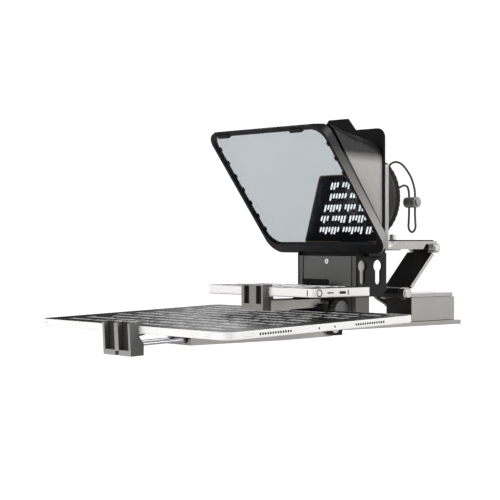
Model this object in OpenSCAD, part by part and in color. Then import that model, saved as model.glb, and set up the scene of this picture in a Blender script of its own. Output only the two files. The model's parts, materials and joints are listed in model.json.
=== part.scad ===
// Through-the-glass teleprompter: a hooded beam-splitter glass on a column, two screen clamps in front,
// and a rail behind that carries a sliding block with a folding camera riser.
// +X is to the right of a speaker's view of the glass, +Y runs back towards the camera, and +Z is up.
// The origin is the centre of the stand socket's mouth, in the underside of the rail.

/* [Rail and column] */
// Width of the rail
rail_w = 44.6; // [42:0.2:50]
// Thickness of the rail
rail_t = 4.3; // [4:0.1:5]
// Distance from the stand socket back to the rail's end
rail_rear = 128; // [126:1:150]
// Width of the column
column_w = 80; // [76:1:84]
// Depth of the column
column_d = 17.6; // [16:0.2:18]
// Distance from the stand socket forward to the column's front face
column_reach = 39; // [39:0.5:42]
// Height of the column's top over the rail's underside
column_top = 71; // [68:0.5:71]
// Radius of the stand socket's thread bore
socket_r = 3.97; // [2.5:0.01:4.2]

/* [Hood] */
// Width of the glass frame
hood_w = 164; // [150:1:170]
// Length of the glass frame along its slope
frame_len = 144; // [135:1:150]
// Depth of the glass frame
frame_t = 8; // [6:0.5:9]
// Radius of the glass frame's lower corners
frame_r = 16; // [12:1:20]
// Radius of the glass frame's upper corners
frame_high_r = 15; // [8:1:18]
// Lean of the glass from upright, in degrees
glass_lean = 36.7; // [30:0.1:45]
// Thickness of the beam-splitter glass
glass_t = 3.2; // [2:0.1:4]
// Width of the rear plate
back_w = 125.2; // [116:0.2:130]
// Height of the rear plate's top over the rail's underside
back_top = 192; // [185:1:196]
// Height of the pull tab over the rear plate
tab_h = 11.4; // [6:0.2:14]
// Height of the lens axis over the rail's underside
lens_z = 128; // [126:0.5:130]
// Radius of the lens opening
lens_r = 31; // [26:0.5:31]
// Thickness of the hood's walls
wall = 2; // [1.6:0.1:3]

/* [Phone clamp] */
// Width of the phone clamp
phone_clamp_w = 31; // [26:0.5:31]
// Height of the phone clamp's pivot
phone_pivot_z = 20; // [20:0.1:20.4]
// Length of the phone
phone_l = 152; // [130:1:165]
// Width of the phone
phone_w = 72; // [68:0.5:74]
// Thickness of the phone
phone_t = 8.5; // [7.5:0.1:9]
// Corner radius of the phone
phone_r = 3.5; // [3:0.5:9]

/* [Tablet clamp] */
// Width of the tablet clamp's body
tablet_clamp_w = 34; // [28:0.5:34]
// Droop of the tablet clamp, in degrees
tablet_droop = 1.9; // [1.5:0.1:2.5]
// Length of the tablet
tablet_l = 280.6; // [240:0.2:290]
// Width of the tablet
tablet_w = 214.9; // [200:0.1:220]
// Thickness of the tablet
tablet_t = 6.4; // [5.5:0.1:6.8]
// Corner radius of the tablet
tablet_r = 10; // [8:0.5:17]

/* [Camera riser] */
// Width of the riser
riser_w = 35.6; // [32:0.2:36]
// Distance between the riser arm's two hinge axes
arm_len = 62.4; // [60:0.1:64]
// Lift of the riser arm from level, in degrees
arm_lift = 46.5; // [44:0.5:48]
// Radius of the camera screw's thread
camera_thread_r = 3.175; // [3.175:0.001:3.2]

/* [Hidden] */
$fn = 48;

// Clearances
run = 0.05;      // pin in a hole that turns or slides on it
gap = 0.1;       // faces of separate bodies that pass each other

// Rail slot and its T-nut
slot_front = 26;
slot_rear = rail_rear - 10;
slot_w = 8.2;
slot_wide = 14.4;
slot_step = 2;

// Column
front_y = -column_reach;
column_back = front_y + column_d;
lip = 5;
pocket = 2.6;
web_t = 3;
foot_t = 4;
face_plate_w = column_w - 2 * lip - 3;
rib_w = 14;

// Clamp mount and pivots
mount_t = 2.6;
ear_in = tablet_clamp_w / 2 + 0.4;
ear_t = 4.1;
ear_out = ear_in + ear_t;
phone_pivot_y = front_y - 9;
tablet_pivot_y = front_y - 11;
tablet_pivot_z = 2.4;
bolt_r = 2.5;
bolt_head_r = 4.5;
knob_r = 9;
knob_l = 8.4;
knob_reach = 6.5;

// Screws: shank, head
small_r = 1.5;
small_head_r = 3;
rail_screw_r = 2;
rail_screw_head_r = 3.8;

// Carriage that carries the hood
cheek_t = 2;
cheek_in = column_w / 2 + 0.3;
cheek_out = cheek_in + cheek_t;
cheek_low = 32.3;
cheek_back = -0.5;
bridge_top = column_top + 3;
bridge_t = 2.4;
keyhole_z = 61.5;
keyhole_r = 5.8;
keyhole_slot = 7;
keyhole_low = 43.7;
lock_z = 52;
lock_rod_r = 3;
web_front = column_back + 0.7;

// Hood
frame_low_y = front_y + 1.4;
frame_low_z = bridge_top - 0.3;
bezel = 3.5;
bezel_low = 10;
bezel_high = 4.5;
glass_lip = 2.2;
glass_edge = 2.1;
glass_high = frame_len - 4;
glass_back = -glass_lip - glass_t;
frame_top = frame_low_z + frame_len * cos(glass_lean) + 1.4;
hood_rear_top = back_top - 11;
hood_screw_l = bridge_t + 4;
back_y = -25;
back_plate_t = 2.4;
board_t = 4.5;
board_top = 160;
board_y = back_y + gap + back_plate_t;
sleeve_y = board_y + board_t;

// Phone and its clamp
phone_z = 34.6;
phone_back = front_y - 15.55;
phone_front = phone_back - phone_w;
phone_body_top = 30.5;
phone_rod_z = 26;
phone_rod_x = 9;
phone_rod_r = 1.75;
key_z = phone_z + phone_t / 2;

// Tablet and its clamp, in the clamp's own frame: the origin is the pivot and -Y is forward
tablet_back = 11.8;
tablet_front = tablet_back + tablet_w;
tablet_rest = 11.7;
tablet_rod_x = 10;
tablet_rod_r = 1.6;
tablet_rod_z = 1.4;
body_front = 169;
body_top = 6;
volume_x = [97, 112.5];
volume_l = 11;
power_y = -204;
power_l = 14;
key_d = 0.9;
key_h = 2.2;
rim = 1.5;
screen_t = 0.5;

// Camera block and riser
block_w = 36.4;
block_front = 59.1;
block_back = 124;
block_low = rail_t + 0.4;
block_top = 28.4;
lever_y = 68;
lever_z = 22;
lower_y = 54;
lower_z = 32.7;
upper_y = lower_y + arm_len * cos(arm_lift);
upper_z = lower_z + arm_len * sin(arm_lift);
lower_knuckle_r = 6;
upper_knuckle_r = 5;
knuckle_x = 10.9;
arm_t = 3.4;
lower_top = lower_z - 0.1;
hinge_pin_r = 2.2;
plate_top = upper_z + 7.1;
plate_web = 3;
pad_t = 1.2;
slot_a = upper_y - 51;
slot_b = upper_y - 22;
screw_y = upper_y - 46;
shank_r = camera_thread_r - 0.3;
thread_low = plate_top + pad_t + 0.2;
thread_l = 5.3;

// Drawstring: from the sleeve's hem down through the cord lock, round a loop and back up to the hem
lock_pos = [46, 31, 123];
cord_r = 1.1;
lock_r = 5.3;
lock_half = 7;
button_r = 3.4;
cord_route = [[25.6, 20, 158.6], [27.6, 21.4, 161.2], [31, 24.5, 162.6], [35.5, 28, 160], [40.3, 30, 154],
              [44.8, 31, 147], [48, 31, 140], [49.7, 31, 134], [50, 31, 128], [50, 31, 120],
              [50, 31, 112], [50.4, 31, 104], [50.7, 31, 99.5], [49.2, 31, 95.6], [46, 31, 94],
              [42.8, 31, 95.6], [41.3, 31, 99.5], [41.6, 31, 104], [42, 31, 112], [42, 31, 120],
              [42, 31, 128], [42.2, 30.4, 133.5], [42.6, 27.8, 138.2], [41.4, 23.8, 139.2],
              [38.9, 20.5, 137]];

// A rectangle with round corners, centred
module round_rect(w, l, r) {
    square([w - 2 * r, l], center = true);
    square([w, l - 2 * r], center = true);
    for (x = [-1, 1], y = [-1, 1]) translate([x * (w / 2 - r), y * (l / 2 - r)]) circle(r);
}

// A slot with round ends along its first axis, centred
module slot_shape(l, w) {
    square([l - w, w], center = true);
    for (x = [-1, 1]) translate([x * (l - w) / 2, 0]) circle(w / 2);
}

// A cylinder along X between two places
module bar_x(r, x0, x1) {
    translate([x0, 0, 0]) rotate([0, 90, 0]) cylinder(r = r, h = x1 - x0);
}

// A cylinder along Y between two places
module bar_y(r, y0, y1) {
    translate([0, y0, 0]) rotate([-90, 0, 0]) cylinder(r = r, h = y1 - y0);
}

// A side outline, given in Y and Z, as a solid between two places along X
module side_solid(x0, x1) {
    translate([x0, 0, 0]) rotate([90, 0, 90]) linear_extrude(x1 - x0) children();
}

// An outline given in X and Z, as a solid between two places along Y
module back_solid(y0, y1) {
    translate([0, y1, 0]) rotate([90, 0, 0]) linear_extrude(y1 - y0) children();
}

// A box given by its two corners
module block(low, high) {
    translate(low) cube(high - low);
}

// The same on both sides of the middle plane
module both_sides() {
    children();
    mirror([1, 0, 0]) children();
}

// A round knob along +X with shallow flutes round its rim
module fluted_knob(r, l, flutes) {
    difference() {
        bar_x(r, 0, l);
        for (i = [0 : flutes - 1]) rotate([i * 360 / flutes, 0, 0])
            translate([0, r + 0.9, 0]) bar_x(1.6, -1, l + 1);
    }
}

// A screw that points down from its countersunk head
module flat_screw(r, head_r, l) {
    translate([0, 0, -l]) cylinder(r = r, h = l);
    translate([0, 0, r - head_r]) cylinder(r1 = r, r2 = head_r, h = head_r - r);
}

// The hole for such a screw
module flat_screw_hole(r, head_r, l) {
    translate([0, 0, -l]) cylinder(r = r, h = l + 0.01);
    translate([0, 0, r - head_r]) cylinder(r1 = r, r2 = head_r, h = head_r - r + 0.001);
}

// ---------------------------------------------------------------- rail and column

module rail_screws_at() {
    for (x = [-14, 14]) translate([x, column_back - 6, 0]) rotate([180, 0, 0]) children();
}

module mount_screws_at() {
    for (x = [-13, 13], z = [12.5, 23.5]) translate([x, front_y - mount_t, z]) rotate([90, 0, 0]) children();
}

module rail() {
    color("silver") difference() {
        block([-rail_w / 2, front_y, 0], [rail_w / 2, rail_rear, rail_t]);
        translate([0, (slot_front + slot_rear) / 2, -1]) linear_extrude(rail_t + 2)
            rotate(90) slot_shape(slot_rear - slot_front, slot_w);
        translate([0, (slot_front + slot_rear) / 2, -1]) linear_extrude(1 + slot_step)
            rotate(90) slot_shape(slot_rear - slot_front + slot_wide - slot_w, slot_wide);
        translate([0, 0, -1]) cylinder(r = 9, h = rail_t + 2);
        rail_screws_at() flat_screw_hole(rail_screw_r, rail_screw_head_r, rail_t + 1);
    }
}

module stand_socket() {
    color("gold") difference() {
        union() {
            cylinder(r = 9, h = rail_t);
            translate([0, 0, rail_t]) cylinder(r = 12, h = 7.7);
        }
        translate([0, 0, -1]) cylinder(r = socket_r, h = 12);
    }
}

module column_frame() {
    half = column_w / 2;
    color("darkgray") difference() {
        union() {
            translate([0, 0, rail_t]) linear_extrude(column_top - rail_t) {
                for (s = [-1, 1]) {
                    translate([s * (half - lip / 2), front_y + (pocket + web_t) / 2])
                        square([lip, pocket + web_t], center = true);
                    translate([s * (half - 1.5), front_y + column_d / 2])
                        square([3, column_d], center = true);
                }
                translate([-half, front_y + pocket]) square([column_w, web_t]);
            }
            block([-half, front_y + pocket, rail_t], [half, column_back, rail_t + foot_t]);
            block([-rib_w / 2, front_y + pocket, rail_t], [rib_w / 2, column_back - 0.4, column_top - 1]);
        }
        rail_screws_at() translate([0, 0, -rail_t - foot_t - 1]) cylinder(r = rail_screw_r, h = foot_t + 2);
        mount_screws_at() translate([0, 0, -10]) cylinder(r = small_r, h = 10);
        translate([0, front_y + pocket - 1, 65.7]) bar_y(small_r, 0, 3.6);
    }
}

module face_plate() {
    color("dimgray") difference() {
        block([-face_plate_w / 2, front_y, rail_t], [face_plate_w / 2, front_y + pocket, column_top - 0.5]);
        mount_screws_at() translate([0, 0, -10]) cylinder(r = small_r, h = 12);
        translate([0, front_y - 1, 65.7]) bar_y(small_r, 0, pocket + 2);
    }
}

module clamp_mount() {
    plate_y = front_y - mount_t;
    color("black") difference() {
        union() {
            block([-ear_out, plate_y, -4.6], [ear_out, front_y, 28]);
            both_sides() side_solid(ear_in, ear_out) {
                translate([phone_pivot_y, phone_pivot_z]) circle(8);
                translate([tablet_pivot_y, tablet_pivot_z]) circle(7);
                polygon([[plate_y, -4.6], [tablet_pivot_y, -4.6], [tablet_pivot_y - 7, tablet_pivot_z],
                         [phone_pivot_y - 8, phone_pivot_z], [phone_pivot_y, 28], [plate_y, 28]]);
            }
        }
        translate([0, phone_pivot_y, phone_pivot_z]) bar_x(bolt_r, -ear_out - 1, ear_out + 1);
        translate([0, tablet_pivot_y, tablet_pivot_z]) bar_x(bolt_r, -ear_out - 1, ear_out + 1);
        mount_screws_at() flat_screw_hole(small_r, small_head_r, 12);
    }
}

module base_screws() {
    color("silver") {
        rail_screws_at() flat_screw(rail_screw_r, rail_screw_head_r, rail_t + foot_t - 0.5);
        mount_screws_at() flat_screw(small_r, small_head_r, 8);
        translate([0, 0, 65.7]) {
            translate([0, front_y, 0]) bar_y(small_r, 0, pocket + 2.6);
            translate([0, front_y, 0]) bar_y(2.6, -0.8, 0);
        }
    }
}

// A pivot bolt with its head on the -X side, its end inside the knob on the +X side
module pivot_bolt() {
    bar_x(bolt_r, -ear_out, ear_out + knob_reach);
    bar_x(bolt_head_r, -ear_out - 2.5, -ear_out);
}

module tilt_knob() {
    difference() {
        translate([ear_out + gap + 0.2, 0, 0]) {
            fluted_knob(knob_r, knob_l, 18);
        }
        bar_x(bolt_r + run, ear_out - 1, ear_out + knob_reach + 0.3);
    }
}

module phone_pivot_bolt() {
    color("silver") translate([0, phone_pivot_y, phone_pivot_z]) pivot_bolt();
}

module tablet_pivot_bolt() {
    color("silver") translate([0, tablet_pivot_y, tablet_pivot_z]) mirror([1, 0, 0]) pivot_bolt();
}

module phone_tilt_knob() {
    color("gray") translate([0, phone_pivot_y, phone_pivot_z]) tilt_knob();
}

module tablet_tilt_knob() {
    color("gray") translate([0, tablet_pivot_y, tablet_pivot_z]) mirror([1, 0, 0]) tilt_knob();
}

// ---------------------------------------------------------------- carriage and hood

module hood_screws_at() {
    for (x = [-28, 0, 28]) translate([x, -28, bridge_top - bridge_t]) rotate([180, 0, 0]) children();
}

module keyhole(y) {
    translate([0, y, keyhole_z]) bar_x(keyhole_r, cheek_in - 1, cheek_out + 1);
    translate([0, y, keyhole_low + keyhole_slot / 2]) bar_x(keyhole_slot / 2, cheek_in - 1, cheek_out + 1);
    block([cheek_in - 1, y - keyhole_slot / 2, keyhole_low + keyhole_slot / 2],
          [cheek_out + 1, y + keyhole_slot / 2, keyhole_z]);
}

module hood_carriage() {
    color([0.13, 0.13, 0.13]) difference() {
        union() {
            both_sides() {
                side_solid(cheek_in, cheek_out)
                    polygon([[front_y, cheek_low], [cheek_back - 8, cheek_low], [cheek_back, cheek_low + 5.5],
                             [cheek_back, bridge_top], [front_y, bridge_top]]);
                block([cheek_out - 0.5, -30, bridge_top - 3.2], [cheek_out + 6, -12, bridge_top]);
                translate([0, -12, bridge_top - 2.2]) bar_x(2.2, cheek_out - 0.5, cheek_out + 6);
            }
            block([-cheek_out, -36, bridge_top - bridge_t], [cheek_out, -2, bridge_top]);
            block([-cheek_out, web_front, cheek_low], [cheek_out, web_front + 2.5, bridge_top]);
            translate([0, 0, lock_z]) bar_y(8, web_front, web_front + 8.5);
        }
        both_sides() for (y = [-32.5, -12]) keyhole(y);
        translate([0, 0, lock_z]) bar_y(lock_rod_r + run, web_front - 1, web_front + 9);
        hood_screws_at() flat_screw_hole(small_r, small_head_r, bridge_t + 1);
    }
}

module carriage_knob() {
    color("gray") translate([0, 0, lock_z]) {
        bar_y(lock_rod_r, column_back - 0.25, web_front + 9);
        translate([0, web_front + 8.8, 0]) rotate([0, 0, 90]) fluted_knob(9, 9, 18);
    }
}

module hood_screws() {
    color("silver") hood_screws_at() flat_screw(small_r, small_head_r, hood_screw_l);
}

// Places an outline drawn across and up the slope of the glass; +Z comes out of its front face
module on_slope(z) {
    translate([0, frame_low_y, frame_low_z]) rotate([90 + glass_lean, 0, 0]) translate([0, 0, z]) children();
}

// The frame's outline between two heights up the slope, drawn in by an inset at its corners
module slope_plate(w, low, high, inset, z0, z1) {
    a = frame_r - inset;
    b = frame_high_r - inset;
    on_slope(z0) linear_extrude(z1 - z0) {
        translate([-w / 2, low + a]) square([w, high - low - a - b]);
        translate([a - w / 2, low]) square([w - 2 * a, a + 1]);
        translate([b - w / 2, high - b - 1]) square([w - 2 * b, b + 1]);
        for (s = [-1, 1]) {
            translate([s * (w / 2 - a), low + a]) circle(a);
            translate([s * (w / 2 - b), high - b]) circle(b);
        }
    }
}

// All that is above a height, to give the hood its flat top
module above(z) {
    block([-hood_w, -2 * frame_len, z], [hood_w, 0, z + frame_len]);
}

module glass_frame() {
    pocket_w = hood_w - 2 * glass_edge + 0.6;
    color([0.1, 0.1, 0.1]) difference() {
        slope_plate(hood_w, 0, frame_len, 0, -frame_t, 0);
        slope_plate(hood_w - 2 * bezel, bezel_low, frame_len - bezel_high, 2, -glass_lip - 1, 1);
        slope_plate(pocket_w, 4.8, glass_high + 0.3, 1.6, glass_back - 0.3, -glass_lip);
        slope_plate(pocket_w, 4.8, glass_high - 3.5, 1.6, -frame_t - 1, glass_back);
        above(frame_top);
    }
}

module beam_splitter() {
    color([0.7, 0.76, 0.8, 0.6])
        slope_plate(hood_w - 2 * glass_edge, 5.1, glass_high, 1.9, glass_back, -glass_lip);
}

// Small clips that hook over the frame's rim onto the glass
module glass_clips() {
    edge = hood_w / 2 - bezel;
    color([0.05, 0.05, 0.05]) {
        for (i = [0 : 6]) both_sides() on_slope(0) translate([0, 27 + i * 16, 0]) {
            block([edge - 1.1, -2, 0], [edge + 1.8, 2, 0.8]);
            block([edge - 1.1, -2, -glass_lip], [edge - 0.05, 2, 0]);
        }
        for (x = [-58, 46]) on_slope(0) translate([x, frame_len - bezel_high, 0]) {
            block([-8, -1.8, 0], [8, 2.4, 0.8]);
            block([-8, -1.8, -glass_lip], [8, -0.05, 0]);
        }
    }
}

// The hood's rear outline, in X and Z: large round corners at the top, small ones at the bottom
module hood_back_outline(inset) {
    w = back_w - 3.2 - 2 * inset;
    low = bridge_top + inset;
    high = hood_rear_top - inset;
    r = 20 - inset;
    translate([-w / 2, low]) square([w, high - low - r]);
    translate([-w / 2 + r, low]) square([w - 2 * r, high - low]);
    for (s = [-1, 1]) translate([s * (w / 2 - r), high - r]) circle(r);
}

// The hood's outer form, or with an inset the space inside it
module hood_form(inset, front, rear) {
    w = hood_w - 1.6 - 2 * inset;
    difference() {
        hull() {
            slope_plate(w, 0.8 + inset, frame_len - 0.8 - inset, 0.8 + inset,
                        -frame_t - 0.8, front - frame_t, $fn = 32);
            back_solid(back_y - 2, back_y + rear) hood_back_outline(inset, $fn = 32);
        }
        above(frame_top - 0.2 - inset);
    }
}

module hood_shell() {
    foot_w = 70;
    color([0.35, 0.34, 0.33]) difference() {
        union() {
            difference() {
                hood_form(0, 0, 0);
                hood_form(wall, 0.1, 0.1);
            }
            back_solid(back_y - 2.5, back_y) difference() {
                hood_back_outline(0.2);
                hood_back_outline(5);
            }
            block([-foot_w / 2, -30.6, bridge_top], [foot_w / 2, back_y, bridge_top + 6]);
        }
        hood_screws_at() translate([0, 0, -hood_screw_l - 0.5]) cylinder(r = small_r, h = hood_screw_l);
    }
}

// ---------------------------------------------------------------- back panel

module board_screws_at() {
    for (x = [-56, 56], z = [82, 153]) translate([x, sleeve_y, z]) rotate([-90, 0, 0]) children();
}

module rear_plate() {
    low = bridge_top + 0.2;
    tab_w = 26;
    tab_base = 47;
    color([0.16, 0.16, 0.16]) difference() {
        back_solid(back_y + gap, back_y + gap + back_plate_t) difference() {
            union() {
                translate([0, (low + back_top) / 2]) round_rect(back_w, back_top - low, 9.5);
                translate([-back_w / 2, low]) square([back_w, 20]);
                polygon([[-tab_base / 2, back_top - 0.01], [tab_base / 2, back_top - 0.01],
                         [tab_w / 2, back_top + tab_h], [-tab_w / 2, back_top + tab_h]]);
            }
            translate([0, lens_z]) circle(lens_r);
        }
        board_screws_at() translate([0, 0, -8]) cylinder(r = small_r, h = 9);
    }
}

module lens_board() {
    color([0.22, 0.21, 0.2]) difference() {
        back_solid(board_y, sleeve_y) difference() {
            translate([0, (76 + board_top) / 2]) round_rect(back_w, board_top - 76, 5);
            translate([0, lens_z]) circle(lens_r);
        }
        board_screws_at() flat_screw_hole(small_r, small_head_r, board_t + 1);
    }
}

module board_screws() {
    color("silver") board_screws_at() flat_screw(small_r, small_head_r, board_t + back_plate_t - 0.2);
}

// Fabric tube from the lens board back to the lens, closed round it by the drawstring in its hem
module lens_sleeve() {
    t = 2;
    profile = [[lens_r + 2, 0], [lens_r + 5, 6], [lens_r + 9, 18], [lens_r + 9.5, 30], [lens_r + 8.5, 40]];
    color([0.08, 0.08, 0.09]) translate([0, sleeve_y, lens_z]) rotate([-90, 0, 0]) rotate_extrude()
        polygon(concat(profile, [for (i = [len(profile) - 1 : -1 : 0]) profile[i] - [t, 0]]));
}

function unit(v) = v / norm(v);
function spline(a, b, c, d, t) =
    0.5 * (2 * b + (c - a) * t + (2 * a - 5 * b + 4 * c - d) * t * t + (3 * b - 3 * c + d - a) * t * t * t);
function near(route, i) = route[min(max(i, 0), len(route) - 1)];
function smooth(route, steps) =
    concat([for (i = [0 : len(route) - 2], k = [0 : steps - 1])
               spline(near(route, i - 1), route[i], route[i + 1], near(route, i + 2), k / steps)],
           [route[len(route) - 1]]);
function heading(p, i) = unit(p[min(i + 1, len(p) - 1)] - p[max(i - 1, 0)]);

// A direction across the route at each point, carried along it without twisting
function across(p, i) =
    i == 0 ? unit(cross(heading(p, 0), [0, 1, 0]))
           : let (h = heading(p, i), a = across(p, i - 1)) unit(a - (a * h) * h);

// A closed tube along a route, with rings across the local heading
module tube(p, r, sides) {
    n = len(p);
    turn = 360 / sides;
    rings = [for (i = [0 : n - 1])
                let (a = across(p, i), b = cross(heading(p, i), a))
                for (k = [0 : sides - 1]) p[i] + r * (cos(k * turn) * a + sin(k * turn) * b)];
    skin = [for (i = [0 : n - 2], k = [0 : sides - 1])
               let (next = (k + 1) % sides)
               [i * sides + k, (i + 1) * sides + k, (i + 1) * sides + next, i * sides + next]];
    ends = [[for (k = [0 : sides - 1]) k], [for (k = [sides - 1 : -1 : 0]) (n - 1) * sides + k]];
    polyhedron(rings, concat(skin, ends));
}

module drawstring() {
    color([0.15, 0.15, 0.15]) tube(smooth(cord_route, 2), cord_r, 8);
}

module cord_lock() {
    color([0.3, 0.3, 0.3]) translate(lock_pos) difference() {
        bar_x(lock_r, -lock_half, lock_half);
        for (x = [-4, 4]) translate([x, 0, -lock_half]) cylinder(r = cord_r + 0.2, h = 2 * lock_half);
        bar_x(button_r + run, lock_half - 1.5, lock_half + 1);
    }
}

module cord_lock_button() {
    color([0.25, 0.25, 0.25]) translate(lock_pos) bar_x(button_r, lock_half - 0.5, lock_half + 2.2);
}

// ---------------------------------------------------------------- phone clamp

module phone_rods_at() {
    for (s = [-1, 1]) translate([s * phone_rod_x, 0, phone_rod_z]) children();
}

module phone_clamp_body() {
    half = phone_clamp_w / 2;
    front = phone_front + 2.55;
    color("silver") difference() {
        union() {
            side_solid(-half, half)
                polygon([[front, 20.8], [-62, 22.7], [-62, phone_body_top], [front, phone_body_top]]);
            block([-10, -62.5, 23.2], [10, phone_pivot_y, 28]);
            translate([0, phone_pivot_y, phone_pivot_z]) bar_x(6, 0.4 - ear_in, ear_in - 0.4);
            block([-10, phone_pivot_y - 5.5, phone_pivot_z], [10, phone_pivot_y + 2, 28]);
        }
        translate([0, phone_pivot_y, phone_pivot_z]) bar_x(bolt_r + run, -30, 30);
        phone_rods_at() bar_y(phone_rod_r + run, front - 1, -71);
        phone_rods_at() bar_y(3.4, front - 1, -104);
    }
}

module phone_rear_jaw() {
    half = phone_clamp_w / 2;
    inner = phone_back + 1.2;
    color([0.1, 0.1, 0.1]) side_solid(-half, half)
        polygon([[-70, phone_body_top], [-50.5, phone_body_top], [-50.5, 47.5], [-52, 49],
                 [phone_back - 3, 49], [phone_back - 3, phone_z + phone_t + 0.4],
                 [inner, phone_z + phone_t + 0.4],
                 [inner, phone_z - 0.4], [-70, phone_z - 0.4]]);
}

module phone_rear_pad() {
    color([0.2, 0.2, 0.2]) block([-13, phone_back + gap, phone_z], [13, phone_back + 1.2, phone_z + phone_t]);
}

module phone_springs() {
    color("gainsboro") phone_rods_at() difference() {
        bar_y(3.2, phone_front + 6, -104.2);
        bar_y(2.1, phone_front + 5, -104);
    }
}

module phone_front_jaw() {
    half = phone_clamp_w / 2;
    inner = phone_front - 1.2;
    outer = phone_front - 7.4;
    top = phone_z + phone_t;
    color("silver") difference() {
        side_solid(-half, half)
            polygon([[outer, 21.4], [phone_front + 2.2, 20.8], [phone_front + 2.2, 31],
                     [phone_front + 5.5, 31], [phone_front + 5.5, phone_z - 0.4],
                     [inner, phone_z - 0.4], [inner, top + 0.4],
                     [phone_front + 4.5, top + 0.4], [phone_front + 4, top + 2.5], [outer, top + 2.5]]);
        for (x = [-11.4, 5.8]) block([x, outer - 1, 27.5], [x + 7.2, outer + 3.8, top + 1]);
        phone_rods_at() bar_y(phone_rod_r, phone_front - 4, phone_front + 3);
    }
}

module phone_front_pad() {
    color([0.2, 0.2, 0.2])
        block([-13, phone_front - 1.2, phone_z], [13, phone_front - gap, phone_z + phone_t]);
}

module phone_rods() {
    color("whitesmoke") phone_rods_at() bar_y(phone_rod_r, phone_front - 4, -80);
}

// ---------------------------------------------------------------- tablet clamp

module tablet_place() {
    translate([0, tablet_pivot_y, tablet_pivot_z]) rotate([tablet_droop, 0, 0]) children();
}

module tablet_rods_at() {
    for (s = [-1, 1]) translate([s * tablet_rod_x, 0, tablet_rod_z]) children();
}

module tablet_clamp_body() {
    half = tablet_clamp_w / 2;
    color("silver") tablet_place() difference() {
        union() {
            bar_x(8, -half, half);
            side_solid(-half, half)
                polygon([[0, -8], [-60, -7.2], [-body_front, -3.4], [-body_front, body_top],
                         [-6, body_top], [0, 8]]);
        }
        bar_x(bolt_r + run, -30, 30);
        tablet_rods_at() bar_y(tablet_rod_r + run, -body_front - 1, -92);
        tablet_rods_at() bar_y(3, -body_front - 1, -132);
    }
}

// Outline of the tablet's rear jaw, with its hook rising by a given height over the tablet
module tablet_hook(rise) {
    top = tablet_rest + tablet_t;
    polygon([[-19, body_top], [-8.2, body_top], [-8.2, top + rise - 0.6], [-9, top + rise],
             [-tablet_back - 3, top + rise], [-tablet_back - 3, top + 0.3], [-tablet_back + 1, top + 0.3],
             [-tablet_back + 1, tablet_rest - 0.2], [-19, tablet_rest - 0.2]]);
}

module tablet_rear_jaw() {
    color([0.1, 0.1, 0.1]) tablet_place() {
        side_solid(-23.5, 23.5) tablet_hook(2.1);
        both_sides() side_solid(16.3, 23.5) tablet_hook(6);
    }
}

module tablet_rear_pad() {
    color([0.2, 0.2, 0.2]) tablet_place()
        block([-14, -tablet_back + gap, tablet_rest], [14, -tablet_back + 1, tablet_rest + tablet_t]);
}

module tablet_springs() {
    color("gainsboro") tablet_place() tablet_rods_at() difference() {
        bar_y(2.8, -body_front + 1, -132.2);
        bar_y(1.9, -body_front, -132);
    }
}

module tablet_front_jaw() {
    half = 20.5;
    face = -tablet_front - 10;
    top = tablet_rest + tablet_t;
    channel_w = 14.6;
    color("silver") tablet_place() difference() {
        side_solid(-half, half)
            polygon([[face + 0.6, -7.4], [-tablet_front + 4.2, -7.4], [-tablet_front + 4.6, 2.5],
                     [-tablet_front + 0.6, 8.2], [-tablet_front + 0.2, tablet_rest - 2.2],
                     [-tablet_front + 6, tablet_rest - 1.6], [-tablet_front + 6, tablet_rest - 0.2],
                     [-tablet_front - 1.2, tablet_rest - 0.2], [-tablet_front - 1.2, top + 0.3],
                     [-tablet_front + 4.5, top + 0.3], [-tablet_front + 4, top + 3.4],
                     [face + 1.5, top + 3.8], [face, top + 2.4]]);
        for (x = [-half + 3, half - 3 - channel_w])
            block([x, face - 1, -2.6], [x + channel_w, face + 5.2, top + 5]);
        block([-2.6, face - 1, -8], [2.6, -tablet_front + 6, -3.4]);
        tablet_rods_at() bar_y(tablet_rod_r, -tablet_front - 4.5, -tablet_front + 6);
    }
}

module tablet_front_pad() {
    color([0.2, 0.2, 0.2]) tablet_place()
        block([-17, -tablet_front - 1.2, tablet_rest], [17, -tablet_front - gap, tablet_rest + tablet_t]);
}

module tablet_rods() {
    color("whitesmoke") tablet_place() tablet_rods_at() bar_y(tablet_rod_r, -tablet_front - 4.5, -100);
}

// ---------------------------------------------------------------- camera block and riser

module block_screws_at() {
    for (y = [78, 108]) translate([0, y, lower_top]) children();
}

module rail_block() {
    color("silver") difference() {
        union() {
            translate([0, (block_front + block_back) / 2, block_low]) linear_extrude(block_top - block_low)
                round_rect(block_w, block_back - block_front, 2.5);
            block([-(slot_w / 2 - 0.2), 80, slot_step + 0.3], [slot_w / 2 - 0.2, 104, block_low + 1]);
        }
        block_screws_at() translate([0, 0, -18]) cylinder(r = rail_screw_r, h = 19);
        translate([0, lever_y, lever_z]) bar_x(hinge_pin_r, -block_w / 2 - 1, -block_w / 2 + 10);
    }
}

module tee_nut() {
    color("silver") translate([0, 92, 0.2]) linear_extrude(slot_step - 0.4)
        round_rect(slot_wide - 0.5, 22, 2);
    color("silver") block([-2.5, 84, slot_step - 0.3], [2.5, 100, slot_step + 0.3]);
}

module lower_plate() {
    x = riser_w / 2;
    color("silver") difference() {
        union() {
            block([-x, lower_y + 7.5, block_top + 0.6], [x, 120.4, lower_top]);
            block([-x, lower_y + 7.5, block_top], [x, 119.4, block_top + 0.7]);
            both_sides() {
                block([knuckle_x, lower_y, block_top + 0.6], [x, lower_y + 8, lower_top]);
                translate([0, lower_y, lower_z]) bar_x(lower_knuckle_r, knuckle_x, x);
            }
        }
        translate([0, lower_y, lower_z]) bar_x(hinge_pin_r, -x - 1, x + 1);
        block_screws_at() flat_screw_hole(rail_screw_r, rail_screw_head_r, 8);
    }
}

module block_screws() {
    color("silver") block_screws_at() flat_screw(rail_screw_r, rail_screw_head_r, 16);
}

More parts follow.
